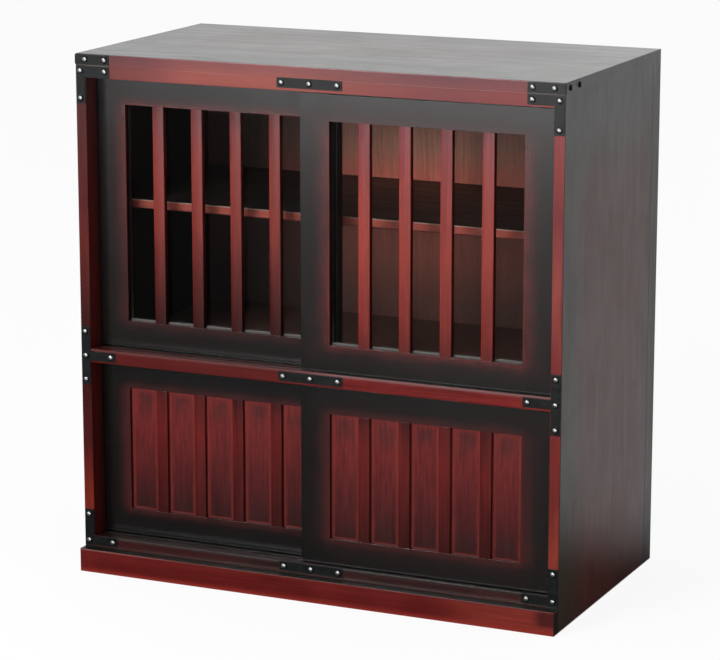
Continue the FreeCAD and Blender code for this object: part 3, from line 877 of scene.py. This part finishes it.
def spray_round(w, place, door, inset, reach, uneven=0.16):
    """Black that starts a little inside a door's opening and is full some way outside it."""
    low, high = opening_of(door)
    x, _, z = w.split(place)
    centre = ((low.x + high.x) / 2, (low.z + high.z) / 2)
    half = ((high.x - low.x) / 2 - inset, (high.z - low.z) / 2 - inset)
    return sprayed(w, x, z, centre, half, reach, uneven)


def on_sill(w, place, door):
    """1 on the pale strip along the top of a door's bottom rail, between its two stiles."""
    x, y, z = w.split(place)
    low, high = opening_of(door)
    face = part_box(door + "_stile_left")[0].y
    strip = w.times(w.fade(z, low.z + 0.0015, low.z + 0.0006), w.fade(y, face + 0.0035, face + 0.0045))
    middle, half = (low.x + high.x) / 2, (high.x - low.x) / 2
    return w.times(strip, w.fade(w.unsigned(w.minus(x, middle)), half, half - 0.0005))


for door in DOORS:
    low, high = opening_of(door)
    print(door, "opening in mm:", round(1000 * (high.x - low.x)), "x", round(1000 * (high.z - low.z)))

# %% [markdown]
# Each frame is black outside and turns a very dark red next to its opening. On the lower doors the
# whole paint is darker, a painted shade. Towards the top a faint, cloudy painted reflection lies on
# the black, and towards the right the black is lighter, a painted reflection too. Stiles and rails
# have the same paint but their grain runs along them, so each door gets two materials.

# %% Door frames
FRAME_SHADE_BY_LEVEL = {"upper": 1.0, "lower": 0.6}
FRAME_RED = ((0.058, 0.006, 0.006), (0.105, 0.010, 0.009))
FRAME_BROWN = {"left": (0.012, 0.0028, 0.0027), "right": (0.026, 0.005, 0.005)}
FRAME_RIGHT_SHEEN_BLACK = (0.0054, 0.0044, 0.0038)
FRAME_VEIL_GREY = (0.011, 0.0105, 0.0125)
FRAME_REVEAL = (0.010, 0.0022, 0.0020)
RED_GIVES_WAY_TO = (0.012, 0.0030, 0.0030)
RED_GIVES_WAY = {"upper_right": (0.66, 0.705, 0.75), "upper_left": (0.62, 0.44, 0.66)}


def frame_arris(door):
    """How far the arrises of a door's frame are rounded: hardly at all along its foot."""
    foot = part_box(door + "_stile_left")[0].z

    def width(w, place):
        return w.fade(w.split(place)[2], foot + 0.005, foot + 0.012, 0.0001, 0.0005)
    return width


def paint_frame(door):
    """The paint of a door's frame. On the doors that have an entry in the table of where the red gives
    way, it turns to a darker red between two heights, by the share given last. On the upper left door
    that darker part is painted shade."""
    level, side = door.split("_")
    # Painted shade: the lower doors take a darker copy of the paint.
    light = FRAME_SHADE_BY_LEVEL[level]
    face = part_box(door + "_stile_left")[0].y

    def paint(w, place, grain):
        x, y, z = w.split(place)
        red = w.mix(grain, *(shaded(colour, light) for colour in FRAME_RED))
        # The red gives way to a darker red between two heights; on the upper left door this is painted
        # shade.
        if door in RED_GIVES_WAY:
            start, end, most = RED_GIVES_WAY[door]
            red = w.mix(w.fade(z, start, end, 0.0, most), red, RED_GIVES_WAY_TO)
        # Painted reflection: a cloudy grey veil towards the top, and a lighter black towards the
        # right.
        cloud = w.fade(w.noise(place, 22.0, 4.0, 0.6), 0.35, 0.65, 0.3, 1.2)
        painted_veil = w.times(w.fade(z, 0.55, 0.74), w.fade(x, 0.05, 0.30, 1.0, 0.55))
        plain = w.mix(w.fade(x, -0.05, 0.30), BLACK, FRAME_RIGHT_SHEEN_BLACK)
        black = w.mix(w.times(painted_veil, cloud), plain, FRAME_VEIL_GREY)
        brown = w.mix(w.noise(place, 5.0), plain, shaded(FRAME_BROWN[side], light))
        wide = spray_round(w, place, door, 0.000, (0.060, 0.045), 0.25)
        near = spray_round(w, place, door, 0.008, (0.034, 0.024))
        front = w.mix(near, red, w.mix(wide, brown, black))
        reveal = FRAME_REVEAL
        if level == "upper":
            reveal = w.mix(on_sill(w, place, door), reveal, GLAZING_GREY)
        return w.mix(w.fade(y, face + 0.0008, face + 0.0018), front, reveal)
    return paint


for door in DOORS:
    for part, run, ends in (("stile", "Z", ("left", "right")), ("rail", "X", ("top", "bottom"))):
        set_finish([f"{door}_{part}_{end}" for end in ends], lacquer(
            f"lacquer_{door}_{part}", run, paint_frame(door), edge_share=0.08,
            edge_width=frame_arris(door)))

# %% [markdown]
# ### Bars
# The upper bars are the brightest part: orange red in the middle of their height and dark at the
# foot. The lower bars are dull. The stain of a bar is a ramp over its own height, and its flanks
# carry painted shade just behind its face.

# %% Bars
BAR_RED = {
    "upper_right": [
        (0.0, (0.086, 0.006, 0.004)), (0.15, (0.160, 0.013, 0.009)), (0.45, (0.228, 0.024, 0.015)),
        (0.75, (0.215, 0.027, 0.023)), (0.90, (0.180, 0.029, 0.034)),
        (0.985, (0.120, 0.024, 0.028)), (1.0, (0.060, 0.030, 0.030))],
    "upper_left": [
        (0.0, (0.022, 0.0008, 0.0006)), (0.20, (0.066, 0.006, 0.0045)),
        (0.50, (0.158, 0.016, 0.011)), (0.75, (0.170, 0.023, 0.018)),
        (0.90, (0.142, 0.024, 0.025)), (1.0, (0.080, 0.018, 0.020))],
    "lower": [
        (0.0, (0.036, 0.0024, 0.0022)), (0.30, (0.062, 0.0040, 0.0032)),
        (0.70, (0.100, 0.0052, 0.0042)), (0.95, (0.068, 0.0052, 0.0046)),
        (1.0, (0.044, 0.0036, 0.0034))],
}
BAR_FLANK_SHADE = (0.008, 0.0018, 0.0016)
BAR_COAT = {"upper": 0.65, "lower": 0.5}


def paint_bars(node, stops):
    """Bars whose red changes from foot to head. The stops give the share of the height."""
    low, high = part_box(node)
    heights = [(low.z + share * (high.z - low.z), colour) for share, colour in stops]

    def paint(w, place, grain):
        _, y, z = w.split(place)
        red = w.along(w.plus(z, w.swing(place, 14.0, 0.05)), heights)
        red = w.streaked(grain, red, (0.66, 0.58, 0.62), (1.20, 1.22, 1.12))
        # The flanks carry painted shade just behind the face.
        return w.mix(w.fade(y, low.y + 0.0008, low.y + 0.0018, 0.0, 0.82), red, BAR_FLANK_SHADE)
    return paint


bar_finish = {}
for door in DOORS:
    level = door.split("_")[0]
    stops = BAR_RED.get(door) or BAR_RED[level]
    bar_finish[door] = lacquer(
        f"lacquer_{door}_bars", "Z", paint_bars(door + "_bars", stops), coat=BAR_COAT[level],
        edge_share=0.15, edge_width=0.0006)
    set_finish([door + "_bars"], bar_finish[door])

# %% [markdown]
# ### Panels
# Behind the lower bars stands one panel a door, and the bars divide it into recesses. Each recess
# was rubbed at its rim, so it has a lighter frame, and it holds black smudges at its head and its
# foot. Both lower doors use it, so it is a group. It works from the distance to the nearest side
# of the recess, which repeats with the pitch of the bars.

# %% Group: rubbed recess
w, given, result = new_group("rubbed_recess", {
    "Place": (0.0, 0.0, 0.0), "First": 0.0, "Pitch": 0.06, "Gap": 0.044, "Foot": 0.09,
    "Head": 0.275, "Rim": 0.005}, ["Rim", "Smudge"])
place = given["Place"]
x, _, z = w.split(place)
in_bay = w.math("FLOORED_MODULO", w.minus(x, given["First"]), given["Pitch"])
side_gap = w.smaller(in_bay, w.minus(given["Gap"], in_bay))
end_gap = w.smaller(w.minus(z, given["Foot"]), w.minus(given["Head"], z))
nearest = w.plus(w.smaller(side_gap, w.times(end_gap, 2.0)), w.swing(place, 60.0, 0.004))
w.feed(result["Rim"], w.fade(nearest, w.times(given["Rim"], 1.6), 0.001))
near_end = w.times(w.fade(end_gap, 0.055, 0.012), w.fade(end_gap, 0.002, 0.012))
patchy = w.fade(w.noise(place, 32.0, 4.0, 0.6), 0.30, 0.60)
w.feed(result["Smudge"], w.times(w.times(w.fade(side_gap, 0.004, 0.016), near_end), patchy))
recess_group = w.tree
print("group:", recess_group.name)

# %% [markdown]
# The panel's own red deepens towards its foot. Its streaks are coarser than those of the frames,
# so it gets a second, wider grain besides the shared one. The recesses are laid over that.

# %% Panels
BARS = 4
PANEL_RED = [
    (0.030, 0.0042, 0.0042), (0.064, 0.0064, 0.0064), (0.108, 0.0095, 0.0095),
    (0.118, 0.0125, 0.0105)]
PANEL_SMUDGE = (0.022, 0.0085, 0.0085)
PANEL_RIM = (0.24, 0.030, 0.020)
PANEL_STREAKS = (260.0, 260.0, 22.0)


def paint_panel(door):
    """The paint of a lower door's panel, with its recesses where the bars leave gaps."""
    low, high = opening_of(door)
    bars_low, bars_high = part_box(door + "_bars")
    gap = bars_low.x - low.x
    pitch = (bars_high.x - bars_low.x + gap) / BARS
    heights = list(zip((low.z, low.z + 0.06, low.z + 0.13, high.z), PANEL_RED))

    def paint(w, place, grain):
        z = w.split(place)[2]
        streak = w.noise(w.vector("MULTIPLY", place, PANEL_STREAKS), 1.0, 4.0, 0.65)
        grain = w.plus(w.times(grain, 0.4), w.fade(streak, 0.34, 0.66, 0.0, 0.6))
        red = w.streaked(grain, w.along(z, heights), (0.58, 0.60, 0.64), (1.34, 1.22, 1.20))
        edge_marks = w.group(recess_group, {
            "Place": place, "First": low.x, "Pitch": pitch, "Gap": gap, "Foot": low.z,
            "Head": high.z})
        red = w.mix(w.times(edge_marks["Smudge"], 0.55), red, PANEL_SMUDGE)
        rim = w.times(edge_marks["Rim"], w.fade(z, low.z, low.z + 0.10, 0.42, 0.34))
        return w.mix(rim, red, PANEL_RIM)
    return paint


for side in ("left", "right"):
    set_finish([f"lower_{side}_panel"], lacquer(
        f"lacquer_lower_{side}_panel", "Z", paint_panel(f"lower_{side}"), coat=0.55))

# %% [markdown]
# ### Inside
# Behind the glass the wood is only stained, with no coat. The back panel has an upright grain. Its
# paint carries painted light and shade: it is brown above the shelf and redder beside and below
# it, both brightly lit by painted light, darker towards its foot with painted shade, and in painted
# shade on the left. Its outside is plain wood.

# %% Back panel
BACK_BROWN_LIT = ((0.56, 0.215, 0.150), (0.90, 0.38, 0.27))
BACK_REDDISH_LIT = ((0.60, 0.140, 0.094), (0.95, 0.225, 0.155))
BACK_LOW_SHADE = (0.12, 0.17, 0.19)
BACK_SHADE = (0.045, 0.020, 0.016)
BACK_OUTSIDE = ((0.11, 0.065, 0.042), (0.19, 0.125, 0.085))
SHELF_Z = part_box("shelf")[1].z
BACK_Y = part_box("back_panel")[1].y
BARE = {"coat": 0.0, "gloss": 0.3}
BARE_BOARD = {"rough": (0.4, 0.55), **BARE}


def paint_back(w, place, grain):
    """The lit and the shaded brown of the inside, and the plain wood of the outside."""
    x, y, z = w.split(place)
    # Painted light: the brown above the shelf and the red below it are both painted brightly lit.
    brown = w.mix(w.fade(z, SHELF_Z, SHELF_Z + 0.06), w.mix(grain, *BACK_REDDISH_LIT),
                  w.mix(grain, *BACK_BROWN_LIT))
    # Painted shade: darker towards the foot.
    brown = w.mix(w.fade(z, 0.35, 0.55), w.tint(brown, BACK_LOW_SHADE), brown)
    dim = w.larger(w.fade(x, -0.02, -0.26, 0.0, 0.88), w.fade(x, 0.02, 0.15, 0.0, 0.30))
    brown = w.mix(dim, brown, BACK_SHADE)
    outside = w.fade(y, BACK_Y - 0.0008, BACK_Y - 0.0002)
    return w.mix(outside, brown, w.mix(grain, *BACK_OUTSIDE))


set_finish(["back_panel"], lacquer("stain_back_panel", "Z", paint_back, across=200.0, **BARE_BOARD))

# %% [markdown]
# The shelf is nearly black, with a red front edge that has a painted highlight along its upper
# arris. The floors are brown. The glazing beads are dark, but pale grey at the foot of each pane.
# The boards that nobody sees get a plain stain that only the grain changes.

# %% Shelf, floors, beads and hidden boards
SHELF_RED = ((0.20, 0.028, 0.018), (0.34, 0.052, 0.032))
SHELF_ARRIS_HIGHLIGHT = (0.30, 0.170, 0.150)
SHELF_UNDER = (0.07, 0.008, 0.006)
SHELF_DARK = ((0.010, 0.008, 0.007), (0.022, 0.014, 0.011))
SHELF_EDGE_Y = (-0.1236, -0.1228)
FLOOR_STAIN = ((0.072, 0.034, 0.028), (0.125, 0.060, 0.046))
BEAD_DARK = (0.012, 0.014, 0.013)
HIDDEN_STAIN = ((0.10, 0.060, 0.040), (0.17, 0.11, 0.075))


def paint_shelf(w, place, grain):
    """The red front edge, and the dark wood behind it."""
    _, y, z = w.split(place)
    # A painted highlight along the upper arris of the front edge.
    red = w.mix(w.fade(z, SHELF_Z - 0.0022, SHELF_Z - 0.0008), w.mix(grain, *SHELF_RED), SHELF_ARRIS_HIGHLIGHT)
    red = w.mix(w.fade(z, SHELF_Z - 0.0105, SHELF_Z - 0.0125), red, SHELF_UNDER)
    return w.mix(w.fade(y, *SHELF_EDGE_Y), red, w.mix(grain, *SHELF_DARK))


def paint_bead(w, place, grain):
    """Pale grey at the foot of the pane, dark further up."""
    pale = w.mix(grain, shaded(GLAZING_GREY, 0.42), shaded(GLAZING_GREY, 0.62))
    sill = opening_of("upper_left")[0].z
    return w.mix(w.fade(w.split(place)[2], sill + 0.006, sill + 0.050), pale, BEAD_DARK)


def paint_stain(light_and_dark):
    """A plain stain that only the grain changes."""
    return lambda w, place, grain: w.mix(grain, *light_and_dark)


set_finish(["shelf"], lacquer("stain_shelf", "X", paint_shelf, **BARE_BOARD))
set_finish(["mid_board", "bottom_board"], lacquer(
    "stain_floor", "X", paint_stain(FLOOR_STAIN), **BARE_BOARD))
bead_finish = lacquer("glazing_beads", "X", paint_bead, **BARE)
set_finish(["upper_left_beads", "upper_right_beads"], bead_finish)
set_finish(["base_rail_front", "base_rail_rear", "case_dowels"], lacquer(
    "stain_hidden", "X", paint_stain(HIDDEN_STAIN), rough=(0.5, 0.7), **BARE))

# %% [markdown]
# ## Iron and steel
# The straps are sheet iron, painted a dull black that lies a little unevenly. The nail heads were
# blacked with them, but handling has polished the crown of each dome bare, so a bright spot sits
# in a dark ring; the black of that ring is partly the blacking and partly painted shade. On the
# sides of the cabinet they are still black. The screws and the shelf pins are plain steel.

# %% Iron and steel
IRON_BLACK = (0.006, 0.006, 0.0065)
IRON_BLACK_ON_SIDE = (0.010, 0.0105, 0.011)


def metal(name, dark, light, rough, metallic, cloud_scale, relief, gloss=0.5, side_black=0.0,
          bare_from=None):
    """Iron or steel with a cloudy colour. With side_black, what sits on the sides is painted over.
    With bare_from, a dome is black below that share of its height, partly blacking and partly
    painted shade, and polished bare above it."""
    material, w = new_material(name)
    place = w.place()
    cloud = w.noise(place, cloud_scale, 4.0, 0.6)
    edge = w.group(edge_group, {"Width": 0.0004, "Place": place})
    shade = w.mix(w.times(edge["Edge"], 0.4), w.mix(cloud, dark, light), shaded(light, 3))
    if side_black:
        outside = w.fade(w.unsigned(w.split(place)[0]), SIDE_X, SIDE_X + 0.0008, 0.0, side_black)
        shade = w.mix(outside, shade, IRON_BLACK_ON_SIDE)
    if bare_from:
        crown = w.add("ShaderNodeAttribute", attribute_name="crown").outputs["Fac"]
        # Black below the crown: partly blacking, partly painted shade round the bright spot.
        shade = w.mix(w.fade(crown, bare_from - 0.15, bare_from + 0.15), IRON_BLACK, shade)
    bump = w.take("ShaderNodeBump", {
        "Strength": relief, "Distance": 0.0004, "Height": cloud, "Normal": edge["Normal"]})
    w.show(w.take("ShaderNodeBsdfPrincipled", {
        "Base Color": shade, "Roughness": w.fade(cloud, 0.3, 0.7, *rough), "Metallic": metallic,
        "Specular IOR Level": gloss, "Normal": bump}))
    return material


iron = metal("iron_plate", (0.0018, 0.0026, 0.0027), (0.0036, 0.0050, 0.0051), (0.32, 0.44),
             0.0, 160.0, 0.2, gloss=0.36)
nail_iron = metal("iron_nail", (0.30, 0.30, 0.305), (0.50, 0.50, 0.505), (0.36, 0.44),
                  1.0, 260.0, 0.10, side_black=0.95, bare_from=0.62)
steel = metal("steel_fixing", (0.35, 0.34, 0.32), (0.5, 0.49, 0.47), (0.25, 0.4), 1.0, 300.0, 0.1)
set_finish([name for name in nodes if "plate" in name or "strap" in name], iron)
set_finish(["shelf_pins"], steel)

# %% [markdown]
# ## Glass
# The panes are plain clear glass with a trace of green. Real glass bends and mirrors light, but
# light that has to find its way through it to the shelf takes a renderer very long. So the
# lamps' rays pass as if the pane weren't there, slightly tinted, and only what is looked at goes
# through real glass. Otherwise the inside would stay black.

# %% Glass
GLASS_TINT = ((0.93, 0.95, 0.94), (0.97, 0.98, 0.975))
GLASS_IOR = 1.5
LAMP_TINT = (0.9, 0.93, 0.92, 1.0)

glass, w = new_material("clear_glass")
pane = w.take("ShaderNodeBsdfPrincipled", {
    "Base Color": w.mix(w.noise(w.place(), 3.0), *GLASS_TINT), "Roughness": 0.0, "IOR": GLASS_IOR,
    "Transmission Weight": 1.0})
rays = w.add("ShaderNodeLightPath").outputs
lamp_ray = w.larger(rays["Is Shadow Ray"], rays["Is Diffuse Ray"])
clear = w.take("ShaderNodeBsdfTransparent", {"Color": LAMP_TINT})
w.show(w.take("ShaderNodeMixShader", {0: lamp_ray, 1: pane, 2: clear}))
set_finish(["upper_left_glass", "upper_right_glass"], glass)

# %% [markdown]
# ## Where the nails and screws go
# A nail head is a low dome on the face of a strap, and each was hammered in by hand, so no two sit
# quite alike. They could be modelled one by one, but Geometry Nodes place one dome at every point
# of a small cloud, each turned to look out of its face. The points come from where the solid
# nails sit. Back screws are placed the same way, with a slotted head cut by a boolean.

# %% Points for the nails and screws
NAIL_HEIGHT = 0.0028
NAIL_WIDTH = 0.009
SCREW_HEIGHT = 0.0016
SCREW_WIDTH = 0.006


def where_they_sit(node):
    """Box of each separate solid in a part, found by walking along its edges."""
    walk = bmesh.new()
    walk.from_mesh(nodes[node].data)
    bmesh.ops.remove_doubles(walk, verts=walk.verts, dist=1e-6)
    left, boxes = set(walk.verts), []
    while left:
        edge_of_walk, island = [left.pop()], []
        while edge_of_walk:
            vertex = edge_of_walk.pop()
            island.append(vertex.co.copy())
            for other in (e.other_vert(vertex) for e in vertex.link_edges):
                if other in left:
                    left.remove(other)
                    edge_of_walk.append(other)
        boxes.append([Vector(map(f, *island)) for f in (min, max)])
    walk.free()
    return sorted(boxes, key=lambda box: [round(c, 4) for c in box[0]])


def point_cloud(name, places):
    """A mesh of loose points, each with the direction that its head looks in."""
    mesh = bpy.data.meshes.new(name)
    mesh.from_pydata([place for place, _ in places], [], [])
    facing = mesh.attributes.new("facing", "FLOAT_VECTOR", "POINT")
    facing.data.foreach_set("vector", [c for _, direction in places for c in direction])
    cloud = bpy.data.objects.new(name, mesh)
    scene.collection.objects.link(cloud)
    return cloud


def seat(low, high):
    """Where a nail head meets its strap, and the way it looks: forwards, or out to the side."""
    middle = (low + high) / 2
    if high.y - low.y > high.x - low.x:
        return Vector((middle.x, low.y + NAIL_HEIGHT, middle.z)), (0.0, -1.0, 0.0)
    side = 1.0 if middle.x > 0 else -1.0
    flank = side * (max(abs(low.x), abs(high.x)) - NAIL_HEIGHT)
    return Vector((flank, middle.y, middle.z)), (side, 0.0, 0.0)


def seat_behind(low, high):
    """Where a screw head meets the back panel. It looks backwards."""
    middle = (low + high) / 2
    return Vector((middle.x, high.y - SCREW_HEIGHT, middle.z)), (0.0, 1.0, 0.0)


nail_places = [seat(low, high) for low, high in where_they_sit("nails")]
screw_places = [seat_behind(low, high) for low, high in where_they_sit("back_screws")]
print("nails:", len(nail_places), "screws:", len(screw_places))

# %% [markdown]
# ## Growing pieces from a tree
# Each tree below takes its sizes as named inputs. A modifier knows an input by its identifier, so
# the values are set through the tree's interface, before the object is first evaluated. The
# evaluated result is then kept as a plain mesh, and the object with the modifier goes.

# %% Helpers for geometry nodes
SOCKET_KINDS = {int: "NodeSocketInt", float: "NodeSocketFloat", tuple: "NodeSocketVector"}


def new_shape_tree(name, inputs):
    """A geometry node tree with named inputs and a finish, ready to be wired."""
    tree = bpy.data.node_groups.new(name, "GeometryNodeTree")
    tree.interface.new_socket("Geometry", in_out="INPUT", socket_type="NodeSocketGeometry")
    for socket, value in inputs.items():
        kind = SOCKET_KINDS[type(value)]
        tree.interface.new_socket(socket, in_out="INPUT", socket_type=kind).default_value = value
    tree.interface.new_socket("Finish", in_out="INPUT", socket_type="NodeSocketMaterial")
    tree.interface.new_socket("Geometry", in_out="OUTPUT", socket_type="NodeSocketGeometry")
    return begin(tree)


def stand_on_points(w, given, head, least, most):
    """A head at every point, turned to its facing and then by a random turn between two limits."""
    facing = w.add("GeometryNodeInputNamedAttribute", {"Name": "facing"}, data_type="FLOAT_VECTOR")
    turn = w.take("FunctionNodeAlignRotationToVector", {"Vector": facing.outputs["Attribute"]},
                  axis="Z")
    lean = w.take("FunctionNodeRandomValue", {0: least, 1: most, "Seed": given["Seed"]},
                  data_type="FLOAT_VECTOR")
    turn = w.take("FunctionNodeRotateRotation", {"Rotation": turn, "Rotate By": lean},
                  rotation_space="LOCAL")
    heads = w.take("GeometryNodeInstanceOnPoints", {
        "Points": given["Geometry"], "Instance": head, "Rotation": turn})
    return w.take("GeometryNodeRealizeInstances", {"Geometry": heads})


def close_tree(w, given, result, shape):
    """Puts the finish on the shape and makes it the tree's result."""
    dressed = w.take("GeometryNodeSetMaterial", {"Geometry": shape, "Material": given["Finish"]})
    w.feed(result["Geometry"], dressed)


def grow(name, base, tree, values, body, replaced):
    """Runs a tree on an object, keeps its result as a plain mesh, and hands it to a body."""
    modifier = base.modifiers.new(name, "NODES")
    modifier.node_group = tree
    for item in tree.interface.items_tree:
        if item.in_out == "INPUT" and item.name in values:
            modifier[item.identifier] = values[item.name]
    evaluated = base.evaluated_get(bpy.context.evaluated_depsgraph_get())
    shape = bpy.data.meshes.new_from_object(evaluated)
    bpy.data.objects.remove(base)
    shape.name = name
    shape.materials.clear()
    shape.materials.append(values["Finish"])
    shape.polygons.foreach_set("material_index", [0] * len(shape.polygons))
    piece = bpy.data.objects.new(name, shape)
    scene.collection.objects.link(piece)
    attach(piece, body)
    if replaced:
        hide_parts(*replaced)
    print(name, "faces:", len(shape.polygons), "finish:", values["Finish"].name)


print("tree inputs may be:", [kind.__name__ for kind in SOCKET_KINDS])

# %% [markdown]
# ## Door bars
# The bars of a door are a row of equal laths with eased arrises. Curves make them: a rectangle with
# filleted corners is swept along an upright line, and the lath is repeated along the door. The
# same tree also makes the pale strips at the foot of the panes, which are five very short laths.

# %% Door bars
STRIP_DEPTH = 0.0030
STRIP_HEIGHT = 0.0030
STRIP_ARRIS = 0.0008

w, given, result = new_shape_tree("door_bars", {
    "First": (0.0, 0.0, 0.0), "Bars": BARS, "Pitch": 0.062, "Width": 0.018, "Depth": 0.010,
    "Height": 0.32, "Arris": 0.0011})
outline = w.take("GeometryNodeCurvePrimitiveQuadrilateral", {
    "Width": given["Width"], "Height": given["Depth"]})
outline = w.take("GeometryNodeFilletCurve", {
    "Curve": outline, "Radius": given["Arris"], "Count": 3}, mode="POLY")
upright = w.take("GeometryNodeCurvePrimitiveLine", {"End": w.join(0.0, 0.0, given["Height"])})
lath = w.take("GeometryNodeCurveToMesh", {
    "Curve": upright, "Profile Curve": outline, "Fill Caps": True})
row = w.take("GeometryNodeMeshLine", {
    "Count": given["Bars"], "Start Location": given["First"], "Offset": w.join(given["Pitch"])})
laths = w.take("GeometryNodeInstanceOnPoints", {"Points": row, "Instance": lath})
close_tree(w, given, result, w.take("GeometryNodeRealizeInstances", {"Geometry": laths}))
for door in DOORS:
    low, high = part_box(door + "_bars")
    opening_low, opening_high = opening_of(door)
    pitch = (high.x - opening_low.x) / BARS
    bay = low.x - opening_low.x
    bar_width = pitch - bay
    first = (low.x + bar_width / 2, (low.y + high.y) / 2, opening_low.z)
    grow(f"{door}_door_bars", point_cloud("start", []), w.tree, {
        "First": first, "Pitch": pitch, "Width": bar_width, "Depth": high.y - low.y,
        "Height": opening_high.z - opening_low.z, "Finish": bar_finish[door]},
        door + "_door", [door + "_bars"])
    if door.startswith("upper"):
        first = (opening_low.x + bay / 2, high.y - STRIP_DEPTH / 2, opening_low.z)
        grow(f"{door}_glazing_strips", point_cloud("start", []), w.tree, {
            "First": first, "Bars": BARS + 1, "Pitch": pitch, "Width": bay,
            "Depth": STRIP_DEPTH, "Height": STRIP_HEIGHT, "Arris": STRIP_ARRIS,
            "Finish": bead_finish}, door + "_door", [])

# %% [markdown]
# ## Nails
# A nail head is a ball whose upper half is pressed to a low dome and whose lower half is sunk into
# the strap. The height on the ball is stored first, as an attribute, so that the finish knows the
# crown from the rim. Each head leans a little, and noise dents it as a hammer would.

# %% Nails
NAIL_SUNK = 0.0004
NAIL_LEAN = 0.03
DENT_SCALE = 330.0

w, given, result = new_shape_tree("domed_nails", {
    "Head Width": NAIL_WIDTH, "Head Height": NAIL_HEIGHT, "Hammer Marks": 0.00004, "Seed": 7})
ball = w.take("GeometryNodeMeshUVSphere", {"Segments": 24, "Rings": 14, "Radius": 1.0})
x, y, z = w.split(w.take("GeometryNodeInputPosition"))
half_width = w.times(given["Head Width"], 0.5)
tall = w.times(w.larger(z, 0.0), given["Head Height"])
sunk = w.times(w.smaller(z, 0.0), NAIL_SUNK)
domed = w.join(w.times(x, half_width), w.times(y, half_width), w.plus(tall, sunk))
ball = w.take("GeometryNodeStoreNamedAttribute", {"Geometry": ball, "Name": "crown", "Value": z},
              data_type="FLOAT", domain="POINT")
head = w.take("GeometryNodeSetPosition", {"Geometry": ball, "Position": domed})
heads = stand_on_points(
    w, given, head, (-NAIL_LEAN, -NAIL_LEAN, -3.0), (NAIL_LEAN, NAIL_LEAN, 3.0))
dents = w.add("ShaderNodeTexNoise", {"Scale": DENT_SCALE, "Detail": 1.0}).outputs["Color"]
dents = w.vector("SUBTRACT", dents, (0.5, 0.5, 0.5))
dents = w.take("ShaderNodeVectorMath", {0: dents, "Scale": given["Hammer Marks"]}, operation="SCALE")
heads = w.take("GeometryNodeSetPosition", {"Geometry": heads, "Offset": dents})
close_tree(w, given, result, w.take("GeometryNodeSetShadeSmooth", {"Geometry": heads}))
grow("nail_heads", point_cloud("nail_points", nail_places), w.tree, {"Finish": nail_iron},
     "case", ["nails"])

# %% [markdown]
# ## Back screws
# A screw head is a flat disc with a slot cut across it by a boolean. Nobody lines the slots up when
# driving screws, so each head gets a random spin.

# %% Back screws
HALF_TURN = 3.14

w, given, result = new_shape_tree("slotted_screws", {
    "Head Width": SCREW_WIDTH, "Head Height": SCREW_HEIGHT, "Slot Width": 0.0009,
    "Slot Depth": 0.0007, "Seed": 3})
disc = w.take("GeometryNodeMeshCylinder", {
    "Vertices": 24, "Side Segments": 1, "Radius": w.times(given["Head Width"], 0.5),
    "Depth": given["Head Height"]})
x, y, z = w.split(w.take("GeometryNodeInputPosition"))
raised = w.join(x, y, w.plus(z, w.times(given["Head Height"], 0.5)))
disc = w.take("GeometryNodeSetPosition", {"Geometry": disc, "Position": raised})
slot = w.take("GeometryNodeMeshCube", {"Size": w.join(
    w.times(given["Head Width"], 1.2), given["Slot Width"], w.times(given["Slot Depth"], 2.0))})
slot = w.take("GeometryNodeSetPosition", {
    "Geometry": slot, "Offset": w.join(0.0, 0.0, given["Head Height"])})
slotted = w.take("GeometryNodeMeshBoolean", {0: disc, 1: slot}, operation="DIFFERENCE")
heads = stand_on_points(w, given, slotted, (0.0, 0.0, 0.0), (0.0, 0.0, HALF_TURN))
close_tree(w, given, result, heads)
grow("screw_heads", point_cloud("screw_points", screw_places), w.tree, {"Finish": steel},
     "case", ["back_screws"])

# The size of all that is shown, apart from the studio, is printed.

low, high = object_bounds()
print("visual size in mm:", [round(1000 * side, 1) for side in high - low])
